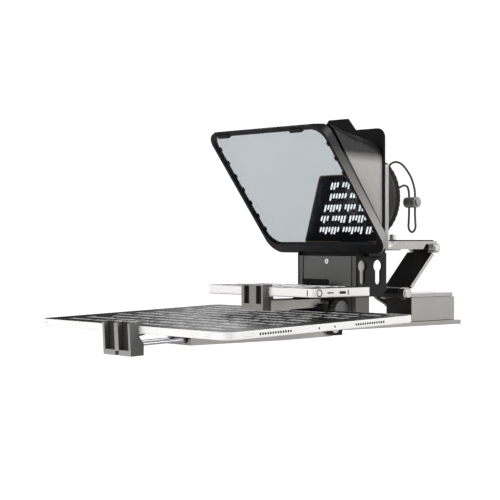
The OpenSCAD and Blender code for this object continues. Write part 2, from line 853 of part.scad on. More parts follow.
module lever_pin() {
    color("silver") translate([0, lever_y, lever_z]) {
        bar_x(hinge_pin_r, -block_w / 2 - 6.5, -block_w / 2 + 10);
        bar_x(3.6, -block_w / 2 - 8, -block_w / 2 - 6.5);
    }
}

module lock_lever() {
    color([0.35, 0.25, 0.2]) translate([0, lever_y, lever_z]) difference() {
        union() {
            bar_x(4.6, -block_w / 2 - 6.2, -block_w / 2 - 0.3);
            rotate([-22, 0, 0]) side_solid(-block_w / 2 - 5.4, -block_w / 2 - 1.4)
                polygon([[0, -4.2], [-19, -2.8], [-22.5, -1.4], [-22.5, 1.6], [-19, 3], [0, 4.4]]);
        }
        bar_x(hinge_pin_r + run, -40, 0);
    }
}

// Places a shape drawn along the riser arm: +Y runs from the lower hinge to the upper one
module along_arm() {
    translate([0, lower_y, lower_z]) rotate([arm_lift, 0, 0]) children();
}

module riser_arm() {
    x = riser_w / 2;
    k = knuckle_x - 0.15;
    color([0.12, 0.12, 0.12]) along_arm() difference() {
        union() {
            block([-x, 8, -arm_t / 2], [x, arm_len - 7.5, arm_t / 2]);
            block([-k, 0, -arm_t / 2], [k, arm_len, arm_t / 2]);
            bar_x(lower_knuckle_r, -k, k);
            translate([0, arm_len, 0]) bar_x(upper_knuckle_r, -k, k);
        }
        bar_x(hinge_pin_r + run, -30, 30);
        translate([0, arm_len, 0]) bar_x(hinge_pin_r + run, -30, 30);
    }
}

module lower_hinge_pin() {
    color("whitesmoke") translate([0, lower_y, lower_z]) {
        bar_x(hinge_pin_r, -riser_w / 2 - 0.6, riser_w / 2 + 0.6);
        both_sides() bar_x(4, riser_w / 2, riser_w / 2 + 1);
    }
}

module upper_hinge_pin() {
    color("whitesmoke") translate([0, upper_y, upper_z]) {
        bar_x(hinge_pin_r, -riser_w / 2 - 0.6, riser_w / 2 + 0.6);
        both_sides() bar_x(3.4, riser_w / 2, riser_w / 2 + 1);
    }
}

module camera_slot(w, low, high) {
    translate([0, (slot_a + slot_b) / 2, low]) linear_extrude(high - low)
        rotate(90) slot_shape(slot_b - slot_a, w);
}

module camera_plate() {
    x = riser_w / 2;
    under = plate_top - plate_web;
    color("silver") difference() {
        union() {
            side_solid(-x, x)
                polygon([[upper_y - 56.5, plate_top], [upper_y - 59, under], [upper_y - 1, under],
                         [upper_y + 1, plate_top]]);
            both_sides() side_solid(x - 2.6, x)
                polygon([[upper_y - 56.5, plate_top], [upper_y - 70.5, upper_z - 1],
                         [upper_y - 20, upper_z - 1], [upper_y - 16, under], [upper_y - 16, plate_top]]);
            side_solid(-x, x)
                polygon([[upper_y - 56.5, plate_top], [upper_y - 70.5, upper_z - 1],
                         [upper_y - 67.5, upper_z - 1], [upper_y - 54, plate_top]]);
            both_sides() {
                translate([0, upper_y, upper_z]) bar_x(upper_knuckle_r, knuckle_x, x);
                block([knuckle_x, upper_y - 5, upper_z], [x, upper_y + 1, under + 0.5]);
            }
        }
        translate([0, upper_y, upper_z]) bar_x(hinge_pin_r, -x - 1, x + 1);
        translate([0, upper_y, upper_z]) bar_x(upper_knuckle_r + 0.4, -knuckle_x, knuckle_x);
        camera_slot(2 * camera_thread_r + 0.4, under - 1, plate_top + 1);
    }
}

module camera_pad() {
    color([0.15, 0.15, 0.15]) difference() {
        block([-riser_w / 2 + 0.8, upper_y - 55, plate_top],
              [riser_w / 2 - 0.8, upper_y - 4, plate_top + pad_t]);
        camera_slot(2 * camera_thread_r + 0.4, plate_top - 1, plate_top + pad_t + 1);
    }
}

module screw_washer() {
    color([0.8, 0.8, 0.75]) translate([0, screw_y, plate_top - plate_web - 1.3]) difference() {
        cylinder(r = 6.5, h = 1.2);
        translate([0, 0, -1]) cylinder(r = shank_r + run, h = 4);
    }
}

module camera_screw() {
    low = plate_top - plate_web - 1.4;
    color("gainsboro") translate([0, screw_y, 0]) difference() {
        union() {
            translate([0, 0, low]) cylinder(r = shank_r, h = thread_low - low);
            translate([0, 0, thread_low]) cylinder(r = camera_thread_r, h = thread_l);
            translate([0, 0, low - 5]) cylinder(r = 8, h = 5);
        }
        block([-9, -0.8, low - 6], [9, 0.8, low - 3.2]);
        for (i = [0 : 17]) rotate(i * 20) translate([8.7, 0, low - 6]) cylinder(r = 1.3, h = 7);
    }
}

// ---------------------------------------------------------------- display units

module phone_case() {
    color([0.9, 0.88, 0.85]) difference() {
        translate([0, (phone_back + phone_front) / 2, phone_z]) linear_extrude(phone_t)
            round_rect(phone_l, phone_w, phone_r);
        translate([0, (phone_back + phone_front) / 2, phone_z + phone_t - screen_t]) linear_extrude(1)
            round_rect(phone_l - 2 * rim, phone_w - 2 * rim, phone_r - rim);
        block([36, phone_back - 0.9, key_z - 1.3], [48, phone_back + 1, key_z + 1.3]);
    }
}

module phone_screen() {
    color([0.05, 0.05, 0.06]) translate([0, (phone_back + phone_front) / 2, phone_z + phone_t - screen_t])
        linear_extrude(screen_t) round_rect(phone_l - 2 * rim, phone_w - 2 * rim, phone_r - rim);
}

module phone_side_key() {
    color([0.85, 0.83, 0.8])
        block([36.1, phone_back - 0.45, key_z - 1.2], [47.9, phone_back + 0.4, key_z + 1.2]);
}

module tablet_middle() {
    tablet_place() translate([0, -(tablet_back + tablet_front) / 2, 0]) children();
}

module tablet_case() {
    mid = tablet_rest + tablet_t / 2;
    color([0.92, 0.92, 0.92]) {
        difference() {
            tablet_middle() difference() {
                translate([0, 0, tablet_rest]) linear_extrude(tablet_t)
                    round_rect(tablet_l, tablet_w, tablet_r);
                translate([0, 0, tablet_rest + tablet_t - screen_t]) linear_extrude(1)
                    round_rect(tablet_l - 2 * rim, tablet_w - 2 * rim, tablet_r - rim);
            }
            tablet_place() {
                for (x = volume_x)
                    block([x - volume_l / 2, -tablet_front - 1, mid - key_h / 2],
                          [x + volume_l / 2, -tablet_front + key_d, mid + key_h / 2]);
                block([tablet_l / 2 - key_d, power_y - power_l / 2, mid - key_h / 2],
                      [tablet_l / 2 + 1, power_y + power_l / 2, mid + key_h / 2]);
            }
        }
    }
}

module tablet_screen() {
    color([0.08, 0.08, 0.09]) tablet_middle() translate([0, 0, tablet_rest + tablet_t - screen_t])
        linear_extrude(screen_t) round_rect(tablet_l - 2 * rim, tablet_w - 2 * rim, tablet_r - rim);
}

module volume_key(x) {
    mid = tablet_rest + tablet_t / 2;
    color([0.88, 0.88, 0.88]) tablet_place()
        block([x - volume_l / 2 + gap, -tablet_front - 0.35, mid - key_h / 2 + gap],
              [x + volume_l / 2 - gap, -tablet_front + key_d - 0.4, mid + key_h / 2 - gap]);
}

module volume_up_key() {
    volume_key(volume_x[1]);
}

module volume_down_key() {
    volume_key(volume_x[0]);
}

module power_key() {
    mid = tablet_rest + tablet_t / 2;
    color([0.88, 0.88, 0.88]) tablet_place()
        block([tablet_l / 2 - key_d + 0.4, power_y - power_l / 2 + gap, mid - key_h / 2 + gap],
              [tablet_l / 2 + 0.35, power_y + power_l / 2 - gap, mid + key_h / 2 - gap]);
}

rail();
stand_socket();
column_frame();
face_plate();
clamp_mount();
base_screws();
phone_pivot_bolt();
tablet_pivot_bolt();
hood_carriage();
hood_shell();
glass_frame();
beam_splitter();
glass_clips();
hood_screws();
carriage_knob();
rear_plate();
lens_board();
lens_sleeve();
drawstring();
cord_lock();
board_screws();
cord_lock_button();
phone_clamp_body();
phone_rear_jaw();
phone_rear_pad();
phone_springs();
phone_front_jaw();
phone_front_pad();
phone_rods();
phone_tilt_knob();
tablet_clamp_body();
tablet_rear_jaw();
tablet_rear_pad();
tablet_springs();
tablet_front_jaw();
tablet_front_pad();
tablet_rods();
tablet_tilt_knob();
rail_block();
tee_nut();
lower_plate();
block_screws();
lever_pin();
lock_lever();
riser_arm();
lower_hinge_pin();
upper_hinge_pin();
camera_plate();
camera_pad();
screw_washer();
camera_screw();
phone_case();
phone_screen();
phone_side_key();
tablet_case();
tablet_screen();
volume_up_key();
volume_down_key();
power_key();
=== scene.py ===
import json
import math
import random

import bmesh
import bpy
from mathutils import Matrix, Vector


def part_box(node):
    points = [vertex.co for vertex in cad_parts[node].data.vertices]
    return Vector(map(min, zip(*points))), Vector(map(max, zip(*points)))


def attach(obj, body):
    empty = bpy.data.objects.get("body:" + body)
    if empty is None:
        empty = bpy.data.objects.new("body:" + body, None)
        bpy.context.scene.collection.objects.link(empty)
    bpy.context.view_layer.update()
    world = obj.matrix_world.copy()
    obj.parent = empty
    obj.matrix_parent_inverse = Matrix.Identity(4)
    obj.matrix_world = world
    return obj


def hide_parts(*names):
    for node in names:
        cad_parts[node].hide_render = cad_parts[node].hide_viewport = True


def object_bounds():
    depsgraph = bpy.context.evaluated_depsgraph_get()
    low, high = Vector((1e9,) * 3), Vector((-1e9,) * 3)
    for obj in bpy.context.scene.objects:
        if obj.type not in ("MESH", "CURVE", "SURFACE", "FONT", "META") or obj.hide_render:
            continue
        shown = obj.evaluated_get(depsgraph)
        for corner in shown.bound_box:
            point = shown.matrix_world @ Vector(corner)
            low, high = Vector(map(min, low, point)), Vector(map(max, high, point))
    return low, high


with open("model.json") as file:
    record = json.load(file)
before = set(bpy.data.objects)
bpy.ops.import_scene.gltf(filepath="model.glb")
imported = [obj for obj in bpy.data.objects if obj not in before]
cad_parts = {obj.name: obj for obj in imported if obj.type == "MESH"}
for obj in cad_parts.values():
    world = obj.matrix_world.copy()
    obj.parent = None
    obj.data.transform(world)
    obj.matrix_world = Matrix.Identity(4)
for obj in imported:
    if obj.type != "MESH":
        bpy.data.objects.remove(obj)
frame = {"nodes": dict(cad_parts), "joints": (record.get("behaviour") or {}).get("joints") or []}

cad_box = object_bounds()
mm = 0.001
NODES = frame["nodes"]
JOINTS = {joint["name"]: joint for joint in frame["joints"]}
WELD = 0.002 * mm
SHARP, FLAT = math.radians(38), math.radians(0.5)


def new_object(name, data):
    obj = bpy.data.objects.new(name, data)
    bpy.context.scene.collection.objects.link(obj)
    return obj


def aim(obj, direction):
    """Turns a camera or a light to look in a direction."""
    obj.rotation_mode = "QUATERNION"
    obj.rotation_quaternion = direction.to_track_quat("-Z", "Y")


# ---------------------------------------------------------------- camera

PLACE = (1.04706, -1.01495, 0.08833)
AZIMUTH = math.radians(50)
DROP = math.radians(0.47)
LENS, SENSOR = 106.39, 36.0

camera_data = bpy.data.cameras.new("camera")
camera_data.sensor_width = SENSOR
camera_data.lens = LENS
camera = new_object("camera", camera_data)
camera.location = PLACE
aim(camera, Vector((-math.sin(AZIMUTH) * math.cos(DROP), math.cos(AZIMUTH) * math.cos(DROP),
                    -math.sin(DROP))))
bpy.context.scene.camera = camera

# ---------------------------------------------------------------- shader building blocks

EVEN = (1, 1, 1)
MIX_SOCKETS = {"FLOAT": (2, 3, 0), "RGBA": (6, 7, 2)}  # a Mix node's first input, second input and output


def new_shader(name):
    material = bpy.data.materials.new(name)
    material.use_nodes = True
    return material, material.node_tree, material.node_tree.nodes["Principled BSDF"]


def feed(tree, socket, value):
    """Links another node's output to a socket, or sets the socket to a constant."""
    if isinstance(value, bpy.types.NodeSocket):
        tree.links.new(value, socket)
    else:
        socket.default_value = value


def fill(tree, node, **inputs):
    """Feeds a node's inputs by name; an underscore in a name stands for a space."""
    for key, value in inputs.items():
        feed(tree, node.inputs[key.replace("_", " ")], value)
    return node


def add(tree, kind, settings=None, **inputs):
    node = tree.nodes.new(kind)
    for key, value in (settings or {}).items():
        setattr(node, key, value)
    return fill(tree, node, **inputs)


def place_on(tree, stretch=EVEN):
    """A piece's own coordinates, in metres."""
    where = add(tree, "ShaderNodeTexCoord").outputs["Object"]
    return add(tree, "ShaderNodeMapping", Vector=where, Scale=stretch).outputs["Vector"]


def remap(tree, value, from_low, from_high, low, high):
    node = add(tree, "ShaderNodeMapRange", Value=value, From_Min=from_low, From_Max=from_high,
               To_Min=low, To_Max=high)
    return node.outputs["Result"]


def wander(tree, scale, low, high, stretch=EVEN, detail=3.0):
    """A value that drifts between low and high over the surface; scale is per metre."""
    noise = add(tree, "ShaderNodeTexNoise", Vector=place_on(tree, stretch), Scale=scale, Detail=detail)
    return remap(tree, noise.outputs["Fac"], 0.3, 0.7, low, high)


def math_node(tree, operation, first, second):
    node = add(tree, "ShaderNodeMath", {"operation": operation})
    feed(tree, node.inputs[0], first)
    feed(tree, node.inputs[1], second)
    return node.outputs[0]


def mixed(tree, factor, first, second, kind="RGBA"):
    """Blends two colours, or two numbers when kind is FLOAT."""
    node = add(tree, "ShaderNodeMix", {"data_type": kind})
    first_number, second_number, result = MIX_SOCKETS[kind]
    feed(tree, node.inputs[0], factor)
    feed(tree, node.inputs[first_number], first)
    feed(tree, node.inputs[second_number], second)
    return node.outputs[result]


def two_tone(tree, factor, first, second):
    return mixed(tree, factor, (*first, 1), (*second, 1))


def grey(value):
    return (value, value, value)


def roughen(tree, shader, height, distance, strength=1.0):
    bump = add(tree, "ShaderNodeBump", Strength=strength, Distance=distance, Height=height)
    fill(tree, shader, Normal=bump.outputs["Normal"])


def surface(name, color, roughness, metallic=0.0, patchy=0.1, grain=2500, stretch=EVEN, depth=0.01 * mm,
            specular=0.5):
    """The base of every finish: a patchy colour, a worn gloss, and a fine grain of a depth."""
    material, tree, shader = new_shader(name)
    dark = [c * (1 - patchy) for c in color]
    light = [min(1, c * (1 + patchy)) for c in color]
    fill(tree, shader, Base_Color=two_tone(tree, wander(tree, 30, 0, 1), dark, light),
         Roughness=wander(tree, 160, roughness * 0.85, roughness * 1.15, detail=6),
         Metallic=metallic, Specular_IOR_Level=specular)
    roughen(tree, shader, wander(tree, grain, 0, 1, stretch), depth)
    return material


# ---------------------------------------------------------------- finishes

BRUSHED_X = (0.06, 1, 1)
BRUSHED_Y = (1, 0.06, 1)
BRUSHED_Z = (1, 1, 0.06)

# After the name: colour, roughness, metallic, patchy, grain, stretch of the grain, its depth, specular
satin_metal = surface("satin_metal", (0.44, 0.425, 0.405), 0.34, 0.9, 0.05, 3000, BRUSHED_Y, 0.012 * mm)
plate_metal = surface("plate_metal", (0.50, 0.49, 0.47), 0.32, 0.9, 0.05, 3000, BRUSHED_Y, 0.012 * mm)
jaw_metal = surface("jaw_metal", (0.50, 0.49, 0.47), 0.36, 0.75, 0.05, 2600, BRUSHED_Z, 0.012 * mm)
# Painted shade: a near-black copy of the metal for front faces and recess floors that lie in shade
painted_shade_metal = surface("painted_shade_metal", (0.03, 0.03, 0.03), 0.6, 0.1, 0.12, 3000, BRUSHED_Z, 0.012 * mm, 0.3)
# Painted shade: a dark copy of the jaw metal for the jaws' +X sides
jaw_side_shade = surface("jaw_side_shade", (0.12, 0.12, 0.115), 0.5, 0.3, 0.1, 3000, BRUSHED_Z, 0.012 * mm, 0.3)
black_metal = surface("black_metal", (0.008, 0.008, 0.008), 0.45, 0.0, 0.15, 3500, EVEN, 0.01 * mm, 0.22)
# Painted light: a bright metal copy for the black arm's X-facing faces, where light falls
arm_lit_edge = surface("arm_lit_edge", (0.5, 0.48, 0.45), 0.35, 0.8, 0.06, 2500, BRUSHED_Y)
# Painted shadow: the plate's metal with a dark line along its foot, for the shade in the gap above the block
lower_side_gap_shade = surface("lower_side_gap_shade", (0.50, 0.49, 0.47), 0.32, 0.9, 0.05, 3000, BRUSHED_Y, 0.012 * mm)
# Painted shade: the column's metal darkened below 38 to 46 mm, for its +X side
column_side_low_shade = surface("column_side_low_shade", (0.44, 0.425, 0.405), 0.4, 0.8, 0.05, 3000, BRUSHED_Z, 0.012 * mm)
# Painted shade: a darker grey copy of the column's metal for its front faces
lip_front_shade = surface("lip_front_shade", (0.13, 0.13, 0.125), 0.45, 0.4, 0.06, 3000, BRUSHED_Z)
panel_grey = surface("panel_grey", (0.115, 0.115, 0.113), 0.55, 0.2, 0.06, 4000)
# Painted light and shade: a lighter grey for the hood's outer side walls, where light falls, darkened towards
# the shoulder
hood_lit_grey = surface("hood_lit_grey", (0.42, 0.41, 0.395), 0.42, 0.45, 0.06, 1800, EVEN, 0.02 * mm)
# Painted light and shade: a grey copy of the black frame for its outer sides, where light falls, darkening
# towards the top
frame_lit_side = surface("frame_lit_side", (0.36, 0.352, 0.342), 0.4, 0.4, 0.06, 1800, EVEN, 0.02 * mm, 0.4)
frame_black = surface("frame_black", (0.006, 0.006, 0.0065), 0.45, 0.0, 0.2, 2200, EVEN, 0.02 * mm, 0.18)
flat_black = surface("flat_black", (0.012, 0.012, 0.012), 0.75, 0.0, 0.15, 3000, EVEN, 0.015 * mm, 0.1)
bright_steel = surface("bright_steel", (0.78, 0.78, 0.77), 0.2, 1.0, 0.05, 2500, BRUSHED_X, 0.006 * mm)
spring_steel = surface("spring_steel", (0.5, 0.5, 0.51), 0.25, 1.0, 0.1)
screw_silver = surface("screw_silver", (0.86, 0.86, 0.85), 0.3, 0.25, 0.04, 2500, BRUSHED_X, 0.006 * mm)
turned_brass = surface("turned_brass", (0.72, 0.55, 0.28), 0.28, 1.0, 0.1, 3000, BRUSHED_Z)
knob_grey = surface("knob_grey", (0.13, 0.13, 0.13), 0.45, 0.1, 0.1, 1800, EVEN, 0.02 * mm)
lever_brown = surface("lever_brown", (0.16, 0.115, 0.095), 0.4, 0.4, 0.12, 2400)
washer_nylon = surface("washer_nylon", (0.72, 0.72, 0.68), 0.5, 0.0, 0.05)
lock_plastic = surface("lock_plastic", (0.33, 0.33, 0.325), 0.28, 0.5, 0.12, 1500)
tablet_metal = surface("tablet_metal", (0.92, 0.915, 0.90), 0.42, 0.2, 0.02, 5200, EVEN, 0.006 * mm)
phone_white = surface("phone_white", (0.97, 0.96, 0.94), 0.3, 0.0, 0.02, 4000, EVEN, 0.004 * mm)
phone_bronze = surface("phone_bronze", (0.14, 0.075, 0.03), 0.35, 0.4, 0.1)
# Partly painted shade: near-black for the insides of holes, key recesses and screw sockets; the ports are
# also dark inside
hollow_dark_and_shade = surface("hollow_dark_and_shade", (0.01, 0.01, 0.01), 0.6, 0.0, 0.1)
rod_chrome = surface("rod_chrome", (0.38, 0.38, 0.39), 0.22, 1.0, 0.02, 900, (1, 0.02, 1), 0.002 * mm)


def rubber_finish():
    """Matte black rubber with a fine moulded pebble."""
    material, tree, shader = new_shader("pad_rubber")
    pebble = add(tree, "ShaderNodeTexVoronoi", {"feature": "SMOOTH_F1"}, Vector=place_on(tree), Scale=900)
    fill(tree, shader, Base_Color=two_tone(tree, wander(tree, 60, 0, 1), grey(0.016), grey(0.03)),
         Roughness=wander(tree, 200, 0.68, 0.85))
    roughen(tree, shader, pebble.outputs["Distance"], 0.12 * mm, 0.7)
    return material


def ribbed_rubber():
    """Rubber with fine ribs across the camera's plate."""
    material, tree, shader = new_shader("ribbed_rubber")
    ribs = add(tree, "ShaderNodeTexWave", {"bands_direction": "Y", "wave_profile": "SIN"},
               Vector=place_on(tree), Scale=160.0).outputs["Fac"]
    fill(tree, shader, Base_Color=two_tone(tree, ribs, grey(0.014), grey(0.035)),
         Roughness=wander(tree, 200, 0.65, 0.82))
    roughen(tree, shader, ribs, 0.3 * mm, 0.8)
    return material


def woven_fabric(name, color, across, along):
    """Plain weave on a piece's own UV map, which runs round it and along it in metres."""
    material, tree, shader = new_shader(name)
    where = add(tree, "ShaderNodeUVMap").outputs["UV"]
    threads = [add(tree, "ShaderNodeTexWave", {"bands_direction": direction, "wave_profile": "SIN"},
                   Vector=where, Scale=scale, Distortion=0.6, Detail=2.0).outputs["Fac"]
               for direction, scale in (("X", across), ("Y", along))]
    weave = math_node(tree, "MAXIMUM", *threads)
    tone = math_node(tree, "MULTIPLY", weave, wander(tree, 700, 0, 1, detail=6))
    dark = [c * 0.55 for c in color]
    light = [c * 1.5 for c in color]
    fill(tree, shader, Base_Color=two_tone(tree, tone, dark, light), Roughness=wander(tree, 250, 0.8, 0.95),
         Sheen_Weight=0.35, Sheen_Roughness=0.5, Specular_IOR_Level=0.2)
    roughen(tree, shader, weave, 0.25 * mm, 0.6)
    return material


def splitter_finish():
    """Half-silvered glass: a cool mirror that still lets the lens see through."""
    material, tree, shader = new_shader("splitter_glass")
    fill(tree, shader,
         Base_Color=two_tone(tree, wander(tree, 12, 0, 1), (0.80, 0.86, 0.90), (0.84, 0.90, 0.94)),
         Roughness=wander(tree, 90, 0.012, 0.03, detail=5), Metallic=1.0, Alpha=0.86)
    return material


def screen_finish():
    """Black display glass with faint smears."""
    material, tree, shader = new_shader("screen_glass")
    fill(tree, shader,
         Base_Color=two_tone(tree, wander(tree, 20, 0, 1), (0.006, 0.006, 0.007), (0.012, 0.012, 0.014)),
         Roughness=wander(tree, 70, 0.22, 0.34, detail=6), Specular_IOR_Level=0.03)
    return material


def lit_finish(name, strength):
    """The lit part of a display, a little uneven."""
    material, tree, shader = new_shader(name)
    patch = wander(tree, 400, 0, 1)
    fill(tree, shader, Base_Color=two_tone(tree, patch, grey(0.08), grey(0.12)),
         Emission_Color=two_tone(tree, patch, grey(0.62), grey(0.95)), Emission_Strength=strength,
         Specular_IOR_Level=0.1)
    return material


def shade_by_height(material, light_z, dark_z, dark):
    """Paints shade: fades a finish into a dark colour between two heights."""
    tree = material.node_tree
    shader = tree.nodes["Principled BSDF"]
    color = shader.inputs["Base Color"].links[0].from_socket
    height = add(tree, "ShaderNodeSeparateXYZ", Vector=place_on(tree)).outputs["Z"]
    fill(tree, shader, Base_Color=mixed(tree, remap(tree, height, light_z, dark_z, 0, 1), color, (*dark, 1)))


plate_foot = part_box("lower_plate")[0].z
# Painted shade by height: the hood's shoulder, a line at the foot of the lower plate, the foot of the
# column's side and the top of the frame's sides
shade_by_height(hood_lit_grey, 158 * mm, 168 * mm, grey(0.012))
shade_by_height(lower_side_gap_shade, plate_foot + 2.2 * mm, plate_foot + 1.9 * mm, grey(0.01))
shade_by_height(column_side_low_shade, 46 * mm, 38 * mm, (0.14, 0.135, 0.13))
shade_by_height(frame_lit_side, 95 * mm, 172 * mm, grey(0.015))
pad_rubber = rubber_finish()
pad_ribbed = ribbed_rubber()
sleeve_fabric = woven_fabric("sleeve_fabric", (0.022, 0.022, 0.024), 330, 330)
cord_braid = woven_fabric("cord_braid", (0.11, 0.11, 0.108), 260, 330)
splitter_glass = splitter_finish()
screen_glass = screen_finish()
bright_rows = lit_finish("screen_rows", 1.4)
dim_rows = lit_finish("row_glow_dim", 0.5)

# ---------------------------------------------------------------- mesh building blocks


def smooth_group():
    """A node group that smooths a mesh except over its sharp edges."""
    group = bpy.data.node_groups.new("smooth_by_angle", "GeometryNodeTree")
    for way in ("INPUT", "OUTPUT"):
        group.interface.new_socket("Geometry", in_out=way, socket_type="NodeSocketGeometry")
    start, end = group.nodes.new("NodeGroupInput"), group.nodes.new("NodeGroupOutput")
    angle = group.nodes.new("GeometryNodeInputMeshEdgeAngle")
    sharp = group.nodes.new("FunctionNodeCompare")
    sharp.operation = "GREATER_THAN"
    sharp.inputs[1].default_value = SHARP
    faces, edges = (group.nodes.new("GeometryNodeSetShadeSmooth") for _ in range(2))
    faces.domain, edges.domain = "FACE", "EDGE"
    edges.inputs["Shade Smooth"].default_value = False
    link = group.links.new
    link(start.outputs[0], faces.inputs["Geometry"])
    link(faces.outputs[0], edges.inputs["Geometry"])
    link(angle.outputs["Unsigned Angle"], sharp.inputs[0])
    link(sharp.outputs[0], edges.inputs["Selection"])
    link(edges.outputs[0], end.inputs[0])
    return group


SMOOTH = smooth_group()


def soften(obj, width=0.0, weld=False):
    """Rounds sharp edges by width and smooths curved faces; weld joins doubled points first."""
    if weld:
        joined = obj.modifiers.new("weld", "WELD")
        joined.merge_threshold = WELD
        flat = obj.modifiers.new("flat", "DECIMATE")
        flat.decimate_type = "DISSOLVE"
        flat.angle_limit = FLAT
    if width:
        bevel = obj.modifiers.new("bevel", "BEVEL")
        bevel.width = width
        bevel.segments = 2
        bevel.limit_method = "ANGLE"
        bevel.angle_limit = SHARP
        bevel.use_clamp_overlap = True
        bevel.miter_outer = "MITER_ARC"
    obj.modifiers.new("smooth", "NODES").node_group = SMOOTH
    weighted = obj.modifiers.new("weighted", "WEIGHTED_NORMAL")
    weighted.keep_sharp = True


def dress(node, material, edge):
    """Gives a CAD node that stays its finish and softened edges."""
    obj = NODES[node]
    obj.data.materials.clear()
    obj.data.materials.append(material)
    custom = obj.data.attributes.get("custom_normal")
    if custom:
        obj.data.attributes.remove(custom)
    soften(obj, edge, weld=True)


def tint(obj, material, test):
    """Gives a second finish to the faces whose centre and normal pass a test."""
    obj.data.materials.append(material)
    number = len(obj.data.materials) - 1
    for face in obj.data.polygons:
        if test(face.center, face.normal):
            face.material_index = number


def piece(name, mesh, body, materials, replaces=()):
    """Links a finished mesh as a piece that rides on a body."""
    obj = new_object(name, mesh)
    for material in materials:
        mesh.materials.append(material)
    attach(obj, body)
    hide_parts(*replaces)
    return obj


class Mesher:
    """Collects lofts and flat faces in one mesh, with a material number for each face."""

    def __init__(self):
        self.points, self.faces, self.numbers, self.uvs = [], [], [], []

    def loft(self, rings, number=0, loop=False, numbers=None):
        """Joins rings of equally many points, and caps both ends or joins them in a loop.

        numbers gives each band between two rings its own material.
        """
        first = len(self.points)
        count = len(rings[0])
        for ring in rings:
            self.points += [Vector(p) for p in ring]
        spans = len(rings) if loop else len(rings) - 1
        for i in range(spans):
            a, b = first + i * count, first + (i + 1) % len(rings) * count
            for k in range(count):
                n = (k + 1) % count
                self.faces.append((a + k, a + n, b + n, b + k))
                self.numbers.append(numbers[i] if numbers else number)
                here, there = k / count, (k + 1) / count
                self.uvs.append([(here, i), (there, i), (there, i + 1), (here, i + 1)])
        if not loop:
            last = first + (len(rings) - 1) * count
            self.cap(range(first + count - 1, first - 1, -1), numbers[0] if numbers else number)
            self.cap(range(last, last + count), numbers[-1] if numbers else number)

    def cap(self, points, number):
        self.faces.append(tuple(points))
        self.numbers.append(number)
        self.uvs.append([(0, 0)] * len(self.faces[-1]))

    def mesh(self, name, matrix=None, uv_scale=(1, 1)):
        made = bpy.data.meshes.new(name)
        points = [matrix @ p if matrix else p for p in self.points]
        made.from_pydata(points, [], self.faces)
        layer = made.uv_layers.new(name="UVMap")
        corner = 0
        for face, number, uvs in zip(made.polygons, self.numbers, self.uvs):
            face.material_index = number
            for u, v in uvs:
                layer.data[corner].uv = (u * uv_scale[0], v * uv_scale[1])
                corner += 1
        made.validate()
        outward = bmesh.new()
        outward.from_mesh(made)
        bmesh.ops.recalc_face_normals(outward, faces=outward.faces)
        outward.to_mesh(made)
        outward.free()
        return made


def around(count):
    """Evenly spaced angles round a circle."""
    return [2 * math.pi * k / count for k in range(count)]


def circle(radius, count):
    return [(radius * math.cos(a), radius * math.sin(a)) for a in around(count)]


def hexagon_radius(angle, across):
    """How far a hexagon reaches in a direction, for its width across the flats."""
    step = 2 * math.pi / 6
    return across / 2 / math.cos((angle % step) - step / 2)


def rounded(low, high, radii, steps=8):
    """A rectangle with round corners, as points; radii run from the low-low corner anticlockwise."""
    (x0, y0), (x1, y1) = low, high
    points = []
    for (x, y, start), r in zip([(x0, y0, 180), (x1, y0, 270), (x1, y1, 0), (x0, y1, 90)], radii):
        r = max(r, 0.01 * mm)
        centre_x = x + (r if x == x0 else -r)
        centre_y = y + (r if y == y0 else -r)
        for k in range(steps + 1):
            a = math.radians(start + 90 * k / steps)
            points.append((centre_x + r * math.cos(a), centre_y + r * math.sin(a)))
    return points


def frames_along(points):
    """A heading and two directions across it at each point, carried along without twisting."""
    count = len(points)
    headings = [(points[min(i + 1, count - 1)] - points[max(i - 1, 0)]).normalized() for i in range(count)]
    side = headings[0].cross(Vector((0, 1, 0)))
    if side.length < 0.1:
        side = headings[0].cross(Vector((1, 0, 0)))
    frames = []
    for heading in headings:
        side = (side - side.dot(heading) * heading).normalized()
        frames.append((heading, side, heading.cross(side)))
    return frames


def tube_rings(points, radius, sides):
    """Rings round a line; radius is a number, or a function of the point's number."""
    rings = []
    for i, (p, (_, a, b)) in enumerate(zip(points, frames_along(points))):
        r = radius(i) if callable(radius) else radius
        rings.append([p + r * (math.cos(t) * a + math.sin(t) * b) for t in around(sides)])
    return rings


def smooth_line(points, steps):
    """Catmull-Rom points between the given ones."""
    line = []
    last = len(points) - 1
    for i in range(last):
        a, b, c, d = (points[min(max(i + k, 0), last)] for k in (-1, 0, 1, 2))
        for k in range(steps):
            t = k / steps
            line.append(0.5 * (2 * b + (c - a) * t + (2 * a - 5 * b + 4 * c - d) * t * t
                               + (3 * b - 3 * c + d - a) * t ** 3))
    return line + [points[last]]


def box_of(points):
    return (Vector(min(p[i] for p in points) for i in range(3)),
            Vector(max(p[i] for p in points) for i in range(3)))


def local_box(node, matrix):
    """A CAD node's lowest and highest corner in a tilted frame of its own."""
    inverse = matrix.inverted()
    return box_of([inverse @ v.co for v in NODES[node].data.vertices])


def carve(obj, holes, materials):
    """Cuts holes out of a piece, and keeps the holes' own materials on the cut."""
    cutter = new_object("cutter", holes.mesh("cutter"))
    for material in materials:
        cutter.data.materials.append(material)
    cut = obj.modifiers.new("cut", "BOOLEAN")
    cut.operation = "DIFFERENCE"
    cut.solver = "EXACT"
    cut.object = cutter
    cut.material_mode = "TRANSFER"
    bpy.context.view_layer.update()
    graph = bpy.context.evaluated_depsgraph_get()
    carved = bpy.data.meshes.new_from_object(obj.evaluated_get(graph))
    obj.modifiers.remove(cut)
    obj.data = carved
    bpy.data.objects.remove(cutter)


# ---------------------------------------------------------------- drawstring

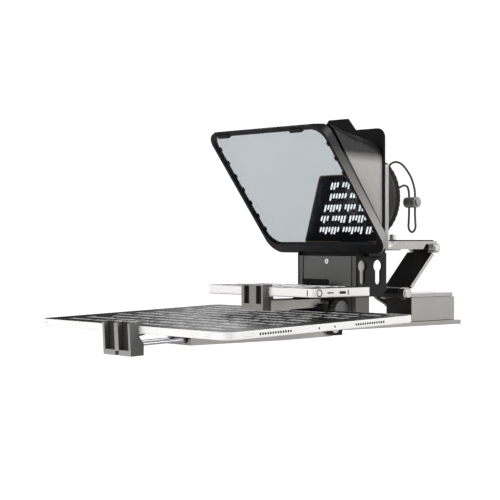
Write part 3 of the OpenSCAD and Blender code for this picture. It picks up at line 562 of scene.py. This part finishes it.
ROUTE = [(25.6, 20, 158.6), (27.6, 21.4, 161.2), (31, 24.5, 162.6), (35.5, 28, 160), (40.3, 30, 154),
         (44.8, 31, 147), (48, 31, 140), (49.7, 31, 134), (50, 31, 128), (50, 31, 120),
         (50, 31, 112), (50.4, 31, 104), (50.7, 31, 99.5), (49.2, 31, 95.6), (46, 31, 94),
         (42.8, 31, 95.6), (41.3, 31, 99.5), (41.6, 31, 104), (42, 31, 112), (42, 31, 120),
         (42, 31, 128), (42.2, 30.4, 133.5), (42.6, 27.8, 138.2), (41.4, 23.8, 139.2), (38.9, 20.5, 137)]
CORD_R = 1.1 * mm


def make_drawstring():
    line = smooth_line([Vector(p) * mm for p in ROUTE], 8)
    length = sum((b - a).length for a, b in zip(line, line[1:]))
    cord = Mesher()
    cord.loft(tube_rings(line, lambda i: CORD_R * (1 - 0.05 * (i % 2)), 12))
    mesh = cord.mesh("drawstring_cord", uv_scale=(2 * math.pi * CORD_R, length / len(line)))
    obj = piece("drawstring_cord", mesh, "back_panel", [cord_braid], ["drawstring"])
    soften(obj)


make_drawstring()

# ---------------------------------------------------------------- fabric sleeve


def make_sleeve():
    """A gathered fabric tube: loose folds in the middle, tight gathers and a hem channel at the lens."""
    low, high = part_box("lens_sleeve")
    centre_x, centre_z = (low.x + high.x) / 2, (low.z + high.z) / 2
    rand = random.Random(7)
    folds = [(rand.randint(5, 19), rand.uniform(0, 6.3), rand.uniform(0.5, 1.0)) for _ in range(7)]
    steps, count = 34, 160
    start_r, full_r, cloth_t = 33 * mm, 39.6 * mm, 1.3 * mm

    def radius(t, a):
        """The outer radius at a share t of the way to the lens and an angle a round it."""
        bell = start_r + (full_r - start_r) * math.sin(min(1, t * 1.9) * math.pi / 2) ** 1.2
        slack = math.sin(math.pi * min(1, t * 1.12)) ** 0.8
        loose = sum(w * math.sin(n * a + p + 2.2 * t * (n % 3 - 1)) for n, p, w in folds)
        gather = math.sin(46 * a + 3 * math.sin(3 * a)) * 0.35 * mm * max(0, t - 0.55) / 0.45
        channel = 1.3 * mm * math.exp(-((t - 0.93) / 0.05) ** 2)
        cinch = 0.9 * mm * math.exp(-((t - 0.84) / 0.03) ** 2)
        mouth = 0.9 * mm * (t > 0.97)
        return bell + 0.42 * mm * slack * loose + gather + (channel - cinch) - mouth

    rings = []
    for shell, inset in ((range(steps + 1), 0), (range(steps, -1, -1), cloth_t)):
        for i in shell:
            t = i / steps
            y = low.y + (high.y - low.y) * t
            reach = [(a, radius(t, a) - inset) for a in around(count)]
            rings.append([Vector((centre_x + r * math.cos(a), y, centre_z + r * math.sin(a)))
                          for a, r in reach])
    cloth = Mesher()
    cloth.loft(rings, loop=True)
    mesh = cloth.mesh("sleeve_cloth", uv_scale=(2 * math.pi * full_r, (high.y - low.y) / steps))
    obj = piece("sleeve_cloth", mesh, "back_panel", [sleeve_fabric], ["lens_sleeve"])
    soften(obj)


make_sleeve()

# ---------------------------------------------------------------- hood


def slope_frame():
    """The glass frame's own axes: X across, Y up the slope from its low edge, Z out of its front."""
    low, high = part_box("glass_frame")
    points = [v.co for v in NODES["glass_frame"].data.vertices]
    foot = min(points, key=lambda p: (round(p.z, 5), p.y))
    brow = min(points, key=lambda p: (round(p.y, 5), -p.z))
    up = Vector((0, brow.y - foot.y, brow.z - foot.z)).normalized()
    return Matrix.Translation((0, foot.y, foot.z)) @ Matrix((
        (1, 0, 0, 0), (0, up.y, -up.z, 0), (0, up.z, up.y, 0), (0, 0, 0, 1)))


SLOPE = slope_frame()


def make_hood_shell():
    """The hood's wall, lofted from the glass frame back to the rear plate, with a seam behind the frame."""
    frame_low, frame_high = local_box("glass_frame", SLOPE)
    plate_low, plate_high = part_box("rear_plate")
    shell_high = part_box("hood_shell")[1]
    step_in = 0.8 * mm
    half = frame_high.x - step_in
    low_edge, high_edge = step_in, frame_high.y - step_in
    low_r, high_r = 15.2 * mm, 14.2 * mm
    rear_half = (plate_high.x - plate_low.x) / 2 - 1.6 * mm
    rear_low, rear_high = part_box("hood_carriage")[1].z, 181 * mm
    rear_low_r, rear_high_r = 0.6 * mm, 20 * mm
    wall = 2 * mm

    def slope_ring(inset, back, taper=0.0):
        """A ring a distance behind the glass frame's back, plus a taper that grows towards the brow."""
        ring = rounded((-half + inset, low_edge + inset), (half - inset, high_edge - inset),
                       [low_r - inset] * 2 + [high_r - inset] * 2)
        points = []
        for x, y in ring:
            drop = taper * (y - low_edge) / (high_edge - low_edge)
            p = SLOPE @ Vector((x, y, frame_low.z - back - drop))
            points.append(Vector((p.x, p.y, min(p.z, shell_high.z - inset - 0.02 * mm))))
        return points

    def rear_ring(inset):
        """A ring on the front of the rear plate."""
        ring = rounded((-rear_half + inset, rear_low + inset), (rear_half - inset, rear_high - inset),
                       [rear_low_r] * 2 + [rear_high_r - inset] * 2)
        return [Vector((x, shell_high.y, z)) for x, z in ring]

    def between(first, second, shares):
        return [[p.lerp(q, t) for p, q in zip(first, second)] for t in shares]

    def filled(ring, corner=9, extra=10):
        """Adds points along the straight stretches between a ring's corners, so twisted walls stay smooth."""
        points = []
        for k, p in enumerate(ring):
            points.append(p)
            if k % corner == corner - 1:
                follow = ring[(k + 1) % len(ring)]
                points += [p.lerp(follow, i / (extra + 1)) for i in range(1, extra + 1)]
        return points

    seam_foot, seam_brow, seam_depth = 0.5 * mm, 3.6 * mm, 2.6 * mm
    lip = slope_ring(seam_depth, 0)
    seam = slope_ring(seam_depth, seam_foot, seam_brow)
    shoulder = slope_ring(0.2 * mm, seam_foot + 0.3 * mm, seam_brow)
    rear, inner_rear = rear_ring(0), rear_ring(wall)
    inner_front = slope_ring(3.6 * mm, 0)
    rings = [lip, seam, *between(seam, shoulder, [0.6]), shoulder,
             *between(shoulder, rear, [0.03, 0.25, 0.5, 0.75, 0.97]), rear,
             inner_rear, *between(inner_rear, inner_front, [0.25, 0.5, 0.75]), inner_front]
    shell = Mesher()
    shell.loft([filled(ring) for ring in rings], loop=True)

    foot_x, foot_front, foot_back = 35 * mm, -30.6 * mm, shell_high.y
    foot_top, chamfer = rear_low + 6 * mm, 0.6 * mm
    foot = rounded((-foot_x, foot_front), (foot_x, foot_back), [1 * mm] * 4, 3)
    shell.loft([[(x, y, z) for x, y in foot] for z in (rear_low, foot_top - chamfer)]
               + [[(x * 0.99, (y - foot_back) * 0.9 + foot_back, foot_top) for x, y in foot]])

    def away_from_light(centre, normal):
        """The roof, the middle of the hood, and the inside of its side walls."""
        roof = normal.z > 0.35 and centre.z > 150 * mm
        return roof or abs(centre.x) < 0.45 * half or centre.x * normal.x < 0

    obj = piece("hood_wall", shell.mesh("hood_wall"), "carriage", [hood_lit_grey], ["hood_shell"])
    # Painted light: only the outer side walls keep the lit grey; the faces away from the light are black
    tint(obj, flat_black, away_from_light)
    soften(obj)


make_hood_shell()

# ---------------------------------------------------------------- screws

HEAD_H = 1.4 * mm
SOCKET_SHARE = 0.85


def socket_screw(mesher, matrix, head_r, head_h, shank_r, length, across):
    """A screw along -Z from its head's top, with a hexagonal socket in the head."""
    angles = around(24)

    def ring(radius, z):
        return [matrix @ Vector((radius * math.cos(a), radius * math.sin(a), z)) for a in angles]

    def hexagon(z):
        reach = [(a, hexagon_radius(a, across)) for a in angles]
        return [matrix @ Vector((r * math.cos(a), r * math.sin(a), z)) for a, r in reach]

    edge = 0.25 * mm
    rings = [ring(shank_r * 0.7, -length), ring(shank_r, -length + 0.4 * mm), ring(shank_r, -head_h),
             ring(head_r - edge * 0.5, -edge), ring(head_r, -edge * 0.8), ring(head_r - edge, 0),
             ring(across * 0.66, 0), hexagon(-0.08 * mm), hexagon(-1.3 * mm)]
    # The socket's walls and floor take the second finish, painted shade
    mesher.loft(rings, numbers=[0] * 7 + [1])


def pointing(place, direction, turn=0.0):
    """A matrix whose +Z is a direction, at a place."""
    return (Matrix.Translation(place) @ Vector(direction).to_track_quat("Z", "Y").to_matrix().to_4x4()
            @ Matrix.Rotation(turn, 4, "Z"))


def islands(node):
    """The box of each separate solid of a CAD node."""
    mesh = bmesh.new()
    mesh.from_mesh(NODES[node].data)
    bmesh.ops.remove_doubles(mesh, verts=mesh.verts, dist=WELD)
    left = set(mesh.verts)
    found = []
    while left:
        stack, seen = [left.pop()], []
        while stack:
            vertex = stack.pop()
            seen.append(vertex.co.copy())
            for edge in vertex.link_edges:
                other = edge.other_vert(vertex)
                if other in left:
                    left.discard(other)
                    stack.append(other)
        found.append(box_of(seen))
    mesh.free()
    return sorted(found, key=lambda box: [round(c, 5) for c in box[0]])


def make_screws(node, body, head_r, shank_r, direction):
    """Replaces a node of screws that all point the same way."""
    screws = Mesher()
    axis = Vector(direction)
    for low, high in islands(node):
        half = abs((high - low).dot(axis)) / 2
        top = (low + high) / 2 + axis * half
        socket_screw(screws, pointing(top, direction, 0.3), head_r, HEAD_H, shank_r, 2 * half,
                     head_r * SOCKET_SHARE)
    obj = piece(node + "_heads", screws.mesh(node), body, [bright_steel, hollow_dark_and_shade], [node])
    soften(obj)


make_screws("hood_screws", "carriage", 3 * mm, 1.5 * mm, (0, 0, -1))
make_screws("board_screws", "back_panel", 3 * mm, 1.5 * mm, (0, 1, 0))
make_screws("block_screws", "camera_block", 3.8 * mm, 2 * mm, (0, 0, 1))


def make_base_screws():
    """Seven screws: two up through the rail, four in the clamp mount and one in the face plate."""
    screws = Mesher()
    for low, high in islands("base_screws"):
        size = high - low
        middle = (low + high) / 2
        front = (middle.x, low.y, middle.z)
        if size.z > size.x + 0.5 * mm:
            matrix = pointing((middle.x, middle.y, low.z), (0, 0, -1))
            sizes = (3.8 * mm, HEAD_H, 2 * mm, size.z, 3.8 * SOCKET_SHARE * mm)
        elif size.y > 7 * mm:
            matrix = pointing(front, (0, -1, 0))
            sizes = (3 * mm, HEAD_H, 1.5 * mm, size.y, 3 * SOCKET_SHARE * mm)
        else:
            matrix = pointing(front, (0, -1, 0), 0.4)
            sizes = (2.6 * mm, 0.8 * mm, 1.5 * mm, size.y, 1.3 * mm)
        socket_screw(screws, matrix, *sizes)
    obj = piece("base_screw_heads", screws.mesh("base_screws"), "base",
                [screw_silver, hollow_dark_and_shade], ["base_screws"])
    soften(obj)


make_base_screws()

# ---------------------------------------------------------------- springs


def make_springs(node, body, matrix):
    """Coil springs round the clamp's guide rods."""
    wire, pitch, per_turn = 0.45 * mm, 1.9 * mm, 20
    inverse = matrix.inverted()
    tubes = {}
    for low, high in islands(node):
        first, second = inverse @ low, inverse @ high
        middle = (first + second) / 2
        start, end = sorted((first.y, second.y))
        radius = (high.x - low.x) / 2 - wire
        key = round(middle.x * 1000)
        if key not in tubes or radius > tubes[key][0]:
            tubes[key] = (radius, middle, start, end)
    coils = Mesher()
    for radius, middle, start, end in tubes.values():
        turns = round((end - start) / pitch)
        start, end = start + wire, end - wire
        line = []
        for k in range(turns * per_turn + 1):
            a = 2 * math.pi * k / per_turn
            line.append(Vector((middle.x + radius * math.cos(a),
                                start + (end - start) * a / (2 * math.pi * turns),
                                middle.z + radius * math.sin(a))))
        coils.loft(tube_rings(line, wire, 8))
    obj = piece(node + "_coils", coils.mesh(node, matrix), body, [spring_steel], [node])
    soften(obj)


slide_axis = JOINTS["tablet_jaw_slide"]["axis"]
TABLET = (Matrix.Translation(JOINTS["tablet_clamp_tilt"]["pos_m"])
          @ Matrix.Rotation(math.atan2(-slide_axis[2], -slide_axis[1]), 4, "X"))
make_springs("phone_springs", "phone_clamp", Matrix.Identity(4))
make_springs("tablet_springs", "tablet_clamp", TABLET)

# ---------------------------------------------------------------- display units

SCREEN_RIM, SCREEN_POCKET = 1.5 * mm, 0.5 * mm
KEY_PLAY, KEY_DEPTH = 0.2 * mm, 0.9 * mm


def case_rings(low, high, radius, edge):
    """Rings of a flat case, from its underside up and over the rim to the floor of the screen's pocket."""
    def ring(inset, z):
        corners = (low.x + inset, low.y + inset), (high.x - inset, high.y - inset)
        return [Vector((x, y, z)) for x, y in rounded(*corners, [radius - inset] * 4, 10)]

    rings = []
    for k in range(5):
        a = math.radians(90 * k / 4)
        rings.append(ring(edge * (1 - math.sin(a)), low.z + edge * (1 - math.cos(a))))
    for k in range(1, 4):
        a = math.radians(90 * k / 4)
        rings.append(ring(edge * 0.5 * (1 - math.cos(a)), high.z - edge * 0.5 * (1 - math.sin(a))))
    rings += [ring(edge * 0.5, high.z), ring(SCREEN_RIM, high.z), ring(SCREEN_RIM, high.z - SCREEN_POCKET)]
    return rings


def round_slot(mesher, number, face, place, length, height, depth):
    """A cutter with round ends: face is x for one in a side across X, or y for one in a side across Y."""
    x, y, z = place
    end = min(length, height) / 2 * 0.99
    outline = rounded((-length / 2, -height / 2), (length / 2, height / 2), [end] * 4, 4)
    rings = []
    for out in (-depth, depth):
        if face == "x":
            rings.append([Vector((x + out, y + u, z + v)) for u, v in outline])
        else:
            rings.append([Vector((x - u, y + out, z + v)) for u, v in outline])
    mesher.loft(rings, number)


def key_recess(mesher, face, side, z, box):
    """A cutter for the recess that a key sits in."""
    low, high = box
    along = 1 if face == "x" else 0
    middle = (low[along] + high[along]) / 2
    place = (side, middle, z) if face == "x" else (middle, side, z)
    round_slot(mesher, 1, face, place, high[along] - low[along] + KEY_PLAY, high.z - low.z + KEY_PLAY,
               KEY_DEPTH)


def make_tablet_case():
    low, high = local_box("tablet_case", TABLET)
    case = Mesher()
    case.loft(case_rings(low, high, 10 * mm, 0.9 * mm))
    finishes = [tablet_metal, hollow_dark_and_shade]
    obj = piece("tablet_shell", case.mesh("tablet_shell"), "tablet", finishes,
                ["tablet_case"])
    middle = (low.z + high.z) / 2
    length = high.y - low.y
    holes = Mesher()
    for share in (0.235, 0.735):
        for k in range(-6, 7):
            place = (high.x, low.y + length * share + k * 2.75 * mm, middle)
            round_slot(holes, 1, "x", place, 1.9 * mm, 2.2 * mm, 1.8 * mm)
    for shift in (-9 * mm, 9 * mm):
        place = (high.x, low.y + length * 0.5 + shift, middle)
        round_slot(holes, 1, "x", place, 1.8 * mm, 1.8 * mm, 1.5 * mm)
    round_slot(holes, 1, "y", (low.x + 14 * mm, low.y, middle), 1.1 * mm, 1.1 * mm, 1 * mm)
    for node in ("volume_up_key", "volume_down_key"):
        key_recess(holes, "y", low.y, middle, local_box(node, TABLET))
    key_recess(holes, "x", high.x, middle, local_box("power_key", TABLET))
    # The cut walls of the holes and key recesses take the near-black, painted shade
    carve(obj, holes, finishes)
    obj.data.transform(TABLET)
    soften(obj)


make_tablet_case()


def make_phone_case():
    low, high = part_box("phone_case")
    case = Mesher()
    case.loft(case_rings(low, high, 3.5 * mm, 1.4 * mm), numbers=[1, 1, 0, 0, 0, 0, 1, 1, 1, 1])
    finishes = [phone_white, phone_bronze, hollow_dark_and_shade]
    obj = piece("phone_shell", case.mesh("phone_shell"), "phone", finishes, ["phone_case"])
    middle, centre = (low.z + high.z) / 2, (low.y + high.y) / 2
    stylus_y = low.y + 7.5 * mm
    holes = Mesher()
    for number, y, length, height, depth in (
        (2, centre, 8.2, 2.4, 1.2),
        (1, centre - 15 * mm, 8, 1.3, 0.5),
        (1, centre + 7 * mm, 1.3, 4.6, 0.5),
        (1, stylus_y, 7.2, 7.2, 0.5),
    ):
        round_slot(holes, number, "x", (high.x, y, middle), length * mm, height * mm, depth * mm)
    key_recess(holes, "y", high.y, middle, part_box("phone_side_key"))
    round_slot(holes, 1, "y", (high.x - 8 * mm, low.y, middle), 1.3 * mm, 6 * mm, 0.3 * mm)
    # The port's cut walls take the near-black, painted shade; the other cuts take the bronze
    carve(obj, holes, finishes)
    soften(obj)

    stylus = Mesher()
    stylus.loft([[Vector((high.x - back * mm, stylus_y + u, middle + v)) for u, v in circle(r * mm, 24)]
                 for back, r in ((0.6, 2.5), (0.15, 2.5), (0.03, 2.2))])
    obj = piece("stylus_end", stylus.mesh("stylus_end"), "phone", [phone_white])
    soften(obj)


make_phone_case()


def make_rows(body, finish, box, rows, tall, margin, seed, matrix=None):
    """Rows of plain upright blocks on a display, grouped like words, in place of its text."""
    low, high = box
    rand = random.Random(seed)
    pitch = (high.y - low.y - 2 * margin) / rows
    width, step, space = tall * 0.34, tall * 0.56, tall * 0.5
    sunk, proud = 0.1 * mm, 0.03 * mm
    text = Mesher()
    for i in range(rows):
        foot = high.y - margin - pitch * (i + 0.5) - tall / 2
        reach = ((high.x - low.x) / 2 - margin) * rand.uniform(0.85, 1.0)
        blocks, x = [], 0.0
        while True:
            count = rand.randint(3, 8)
            if x + count * step > 2 * reach:
                break
            blocks += [(x + k * step, rand.choice((0.7, 0.7, 1.0)) * tall) for k in range(count)]
            x += count * step + space
        shift = (low.x + high.x) / 2 - (x - space) / 2
        for start, height in blocks:
            outline = rounded((start + shift, foot), (start + shift + width, foot + height),
                              [width * 0.35] * 4, 2)
            text.loft([[Vector((u, v, z)) for u, v in outline] for z in (high.z - sunk, high.z + proud)])
    name = body + "_rows"
    piece(name, text.mesh(name, matrix), body, [finish])


make_rows("phone", bright_rows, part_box("phone_screen"), 5, 7.6 * mm, 5 * mm, 3)
make_rows("tablet", dim_rows, local_box("tablet_screen", TABLET), 10, 10 * mm, 10 * mm, 5, TABLET)

# ---------------------------------------------------------------- finishes of the CAD nodes

for names, material, edge in (
    (("rail",), satin_metal, 0.4 * mm),
    (("column_frame", "rail_block"), satin_metal, 0.35 * mm),
    (("lower_plate", "camera_plate"), plate_metal, 0.35 * mm),
    (("phone_clamp_body", "tablet_clamp_body"), satin_metal, 0.5 * mm),
    (("phone_front_jaw", "tablet_front_jaw"), jaw_metal, 0.4 * mm),
    (("lens_board",), satin_metal, 0.4 * mm),
    (("hood_carriage", "clamp_mount", "riser_arm"), black_metal, 0.35 * mm),
    (("face_plate",), panel_grey, 0.3 * mm),
    (("rear_plate",), flat_black, 0.4 * mm),
    (("glass_frame",), frame_black, 0.7 * mm),
    (("glass_clips",), frame_black, 0.2 * mm),
    (("phone_rear_jaw", "tablet_rear_jaw"), frame_black, 0.5 * mm),
    (("phone_pivot_bolt", "tablet_pivot_bolt", "lever_pin", "tee_nut", "lower_hinge_pin",
      "upper_hinge_pin", "camera_screw"), bright_steel, 0.25 * mm),
    (("phone_rods", "tablet_rods"), rod_chrome, 0.25 * mm),
    (("stand_socket",), turned_brass, 0.4 * mm),
    (("carriage_knob", "phone_tilt_knob", "tablet_tilt_knob"), knob_grey, 0.35 * mm),
    (("lock_lever",), lever_brown, 0.7 * mm),
    (("phone_rear_pad", "phone_front_pad", "tablet_rear_pad", "tablet_front_pad"), pad_rubber, 0.2 * mm),
    (("camera_pad",), pad_ribbed, 0.25 * mm),
    (("screw_washer",), washer_nylon, 0.2 * mm),
    (("cord_lock", "cord_lock_button"), lock_plastic, 0.5 * mm),
    (("phone_side_key",), phone_white, 0.2 * mm),
    (("volume_up_key", "volume_down_key", "power_key"), tablet_metal, 0.2 * mm),
    (("beam_splitter",), splitter_glass, 0.1 * mm),
    (("phone_screen", "tablet_screen"), screen_glass, 0.1 * mm),
):
    for name in names:
        dress(name, material, edge)

# Second finishes, painted light and shade by face direction: shaded ends, shaded recesses, the frame's and
# the arm's lit sides, and shaded sides of the jaws, lips and column
rim_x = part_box("glass_frame")[1].x - 9 * mm
# Painted light on the arm's X-facing faces
tint(NODES["riser_arm"], arm_lit_edge, lambda centre, normal: abs(normal.x) > 0.9)
# Painted light on the frame's outer sides
tint(NODES["glass_frame"], frame_lit_side,
     lambda centre, normal: abs(normal.x) > 0.45 and abs(centre.x) > rim_x and centre.x * normal.x > 0)
# Painted shade: the front faces of the block and the lower plate are darkened, as they lie in shade
for name in ("rail_block", "lower_plate"):
    tint(NODES[name], painted_shade_metal, lambda centre, normal: normal.y < -0.6)
for name, start, end in (("phone_front_jaw", 1 * mm, 5 * mm), ("tablet_front_jaw", 2 * mm, 7 * mm)):
    jaw_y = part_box(name)[0].y
    # Painted shade on the floors of the jaw's recesses
    tint(NODES[name], painted_shade_metal,
         lambda centre, normal: normal.y < -0.9 and jaw_y + start < centre.y < jaw_y + end)
    # Painted shade on the jaws' +X sides
    tint(NODES[name], jaw_side_shade, lambda centre, normal: normal.x > 0.9)
# Painted shade on the column frame's front faces
tint(NODES["column_frame"], lip_front_shade, lambda centre, normal: normal.y < -0.9)
# Painted shadow line at the foot of the lower plate's sides
tint(NODES["lower_plate"], lower_side_gap_shade, lambda centre, normal: abs(normal.x) > 0.9)
# Painted shade on the lower part of the column's +X side
tint(NODES["column_frame"], column_side_low_shade, lambda centre, normal: normal.x > 0.9 and centre.x > 0)

# The glass shows the upper screen alone, as in the photograph
for obj in (NODES["tablet_screen"], bpy.data.objects["tablet_rows"], bpy.data.objects["tablet_shell"]):
    obj.visible_glossy = False

# ---------------------------------------------------------------- studio

WHITE = (1, 1, 1, 1)
FLOOR_Z = cad_box[0].z - 0.26
FLOOR_R = 14.0
WALL_SIDE = (0.77, 0.64, 0.0)


def make_floor():
    """A white floor that is dimmer to reflections than to the camera."""
    material, tree, shader = new_shader("studio_floor")
    seen = add(tree, "ShaderNodeLightPath").outputs["Is Camera Ray"]
    fill(tree, shader, Base_Color=(0.3, 0.3, 0.3, 1), Roughness=0.9, Specular_IOR_Level=0.1,
         Emission_Color=WHITE, Emission_Strength=remap(tree, seen, 0, 1, 0.40, 1.05))
    disc = Mesher()
    disc.points = [Vector((x, y, FLOOR_Z)) for x, y in circle(FLOOR_R, 64)]
    disc.cap(range(64), 0)
    floor = new_object("floor", disc.mesh("floor"))
    floor.data.materials.append(material)


make_floor()


def make_world():
    """White behind the object; for its reflections, a soft wall of light to the right and dark above."""
    world = bpy.data.worlds.new("studio")
    bpy.context.scene.world = world
    world.use_nodes = True
    tree = world.node_tree
    direction = add(tree, "ShaderNodeTexCoord").outputs["Generated"]
    side = add(tree, "ShaderNodeVectorMath", {"operation": "DOT_PRODUCT"})
    feed(tree, side.inputs[0], direction)
    feed(tree, side.inputs[1], WALL_SIDE)
    height = add(tree, "ShaderNodeSeparateXYZ", Vector=direction).outputs["Z"]
    wall = remap(tree, side.outputs["Value"], 0.35, 0.85, 0.0, 1.0)
    low = remap(tree, height, 0.35, 0.75, 1.0, 0.0)
    glow = math_node(tree, "MULTIPLY", math_node(tree, "MULTIPLY", wall, low), 1.05)
    soft = math_node(tree, "ADD", glow, 0.08)
    camera_ray = add(tree, "ShaderNodeLightPath").outputs["Is Camera Ray"]
    fill(tree, tree.nodes["Background"], Color=WHITE, Strength=mixed(tree, camera_ray, soft, 1.1, "FLOAT"))


make_world()


def area_light(name, place, size, watts, glossy=True):
    """A rectangular light that faces the middle of the object."""
    data = bpy.data.lights.new(name, "AREA")
    data.shape = "RECTANGLE"
    data.size, data.size_y = size
    data.energy = watts
    light = new_object(name, data)
    light.location = place
    aim(light, (cad_box[0] + cad_box[1]) / 2 - Vector(place))
    light.visible_glossy = glossy
    light.visible_camera = False


area_light("key", (1.5, 0.5, 1.0), (1.2, 1.2), 18)
area_light("fill", (-0.4, -1.7, 0.7), (1.6, 1.2), 32, glossy=False)
area_light("top", (0.0, -0.2, 1.8), (1.6, 1.6), 10, glossy=False)
area_light("back", (-1.3, 1.4, 0.9), (1.2, 1.0), 10)

scene = bpy.context.scene
scene.view_settings.view_transform = "Standard"
scene.view_settings.look = "None"
